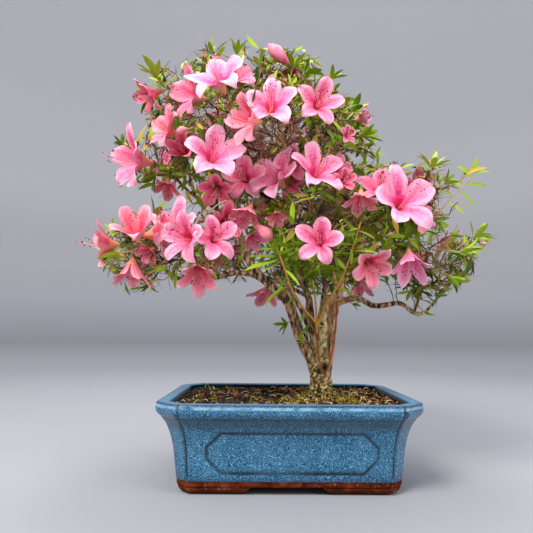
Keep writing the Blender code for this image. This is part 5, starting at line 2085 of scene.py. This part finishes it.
def add_stubs(batch, points, parents, shade, rng):
    """Short dead side twigs, thickest deep in the crown where no leaves grow."""
    share = (0.30 + 2.1 * shade) * in_outline(points, rng) * growing_share(points, True)
    wanted = np.floor(rng.uniform(0, 1, len(points)) + share).astype(int)
    for index in np.repeat(np.arange(len(points)), np.maximum(wanted, 0)):
        along = unit(points[index] - points[parents[index]])
        ahead = unit(along * 0.6 + rng.normal(0, 0.7, 3))
        long = rng.uniform(0.006, 0.017)
        bend = rng.normal(0, 0.25, 3)
        path = [points[index], points[index] + ahead * long * 0.5,
                points[index] + unit(ahead + bend) * long]
        thick = rng.uniform(0.00024, 0.00042)
        tube(batch, path, [thick, thick * 0.9, thick * 0.6], int(rng.choice([0, 1, 2, 2])), 3)


# ---------------------------------------------------------------- stage, lights, camera
def build_stage():
    """A pale floor that curves up into a backdrop, on every side, graded by height: painted shade in a
    darker band low down, paler higher up.
    """
    f = Finish("backdrop", 0.9)
    f.set(Base_Color=f.ramp(f.height(), (0.0, (156, 157, 163)), (0.10, (128, 129, 135)),
                            (0.32, (154, 155, 161)), (0.9, (178, 178, 182))))
    bend = np.linspace(0, math.pi / 2, 13)
    reach = [0, *(STAGE_FLAT + STAGE_BEND * np.sin(bend)), STAGE_FLAT + STAGE_BEND]
    height = [0, *(STAGE_BEND - STAGE_BEND * np.cos(bend)), STAGE_TOP]
    angle = np.arange(STAGE_SIDES) * TURN / STAGE_SIDES
    rings = [np.column_stack([out * np.cos(angle), out * np.sin(angle), np.full(STAGE_SIDES, z)])
             for out, z in zip(reach, height)]
    faces = grid_faces(len(rings), STAGE_SIDES, True)[:, ::-1]
    mesh_object("backdrop", np.vstack(rings), faces, [f.material])


def build_lights():
    world = bpy.data.worlds.new("studio")
    world.use_nodes = True
    background = world.node_tree.nodes["Background"]
    background.inputs["Color"].default_value = SKY_COLOUR
    background.inputs["Strength"].default_value = SKY_STRENGTH
    bpy.context.scene.world = world
    for name, (place, width, watts, colour) in LIGHTS.items():
        light = bpy.data.lights.new(name, "AREA")
        light.shape = "DISK"
        light.size = width
        light.energy = watts
        light.color = colour
        made = add_to_scene(name, light)
        made.location = place
        made.rotation_mode = "QUATERNION"
        made.rotation_quaternion = (LIGHTS_AIM - Vector(place)).to_track_quat("-Z", "Y")
    bpy.context.scene.view_settings.view_transform = "Standard"


def build_camera():
    camera = bpy.data.cameras.new("photo_camera")
    camera.sensor_width = SENSOR_MM
    camera.lens = FOCAL_PIXELS / PICTURE_PIXELS * SENSOR_MM
    camera.clip_start = 0.01
    made = add_to_scene("photo_camera", camera)
    axes = np.column_stack([CAMERA_RIGHT, CAMERA_UP, -CAMERA_AHEAD, CAMERA_AT + POT_AT])
    made.matrix_world = Matrix([*axes.tolist(), [0, 0, 0, 1]])
    bpy.context.scene.camera = made


build_camera()
build_stage()
build_lights()
build_pot()
build_soil()
build_crown()
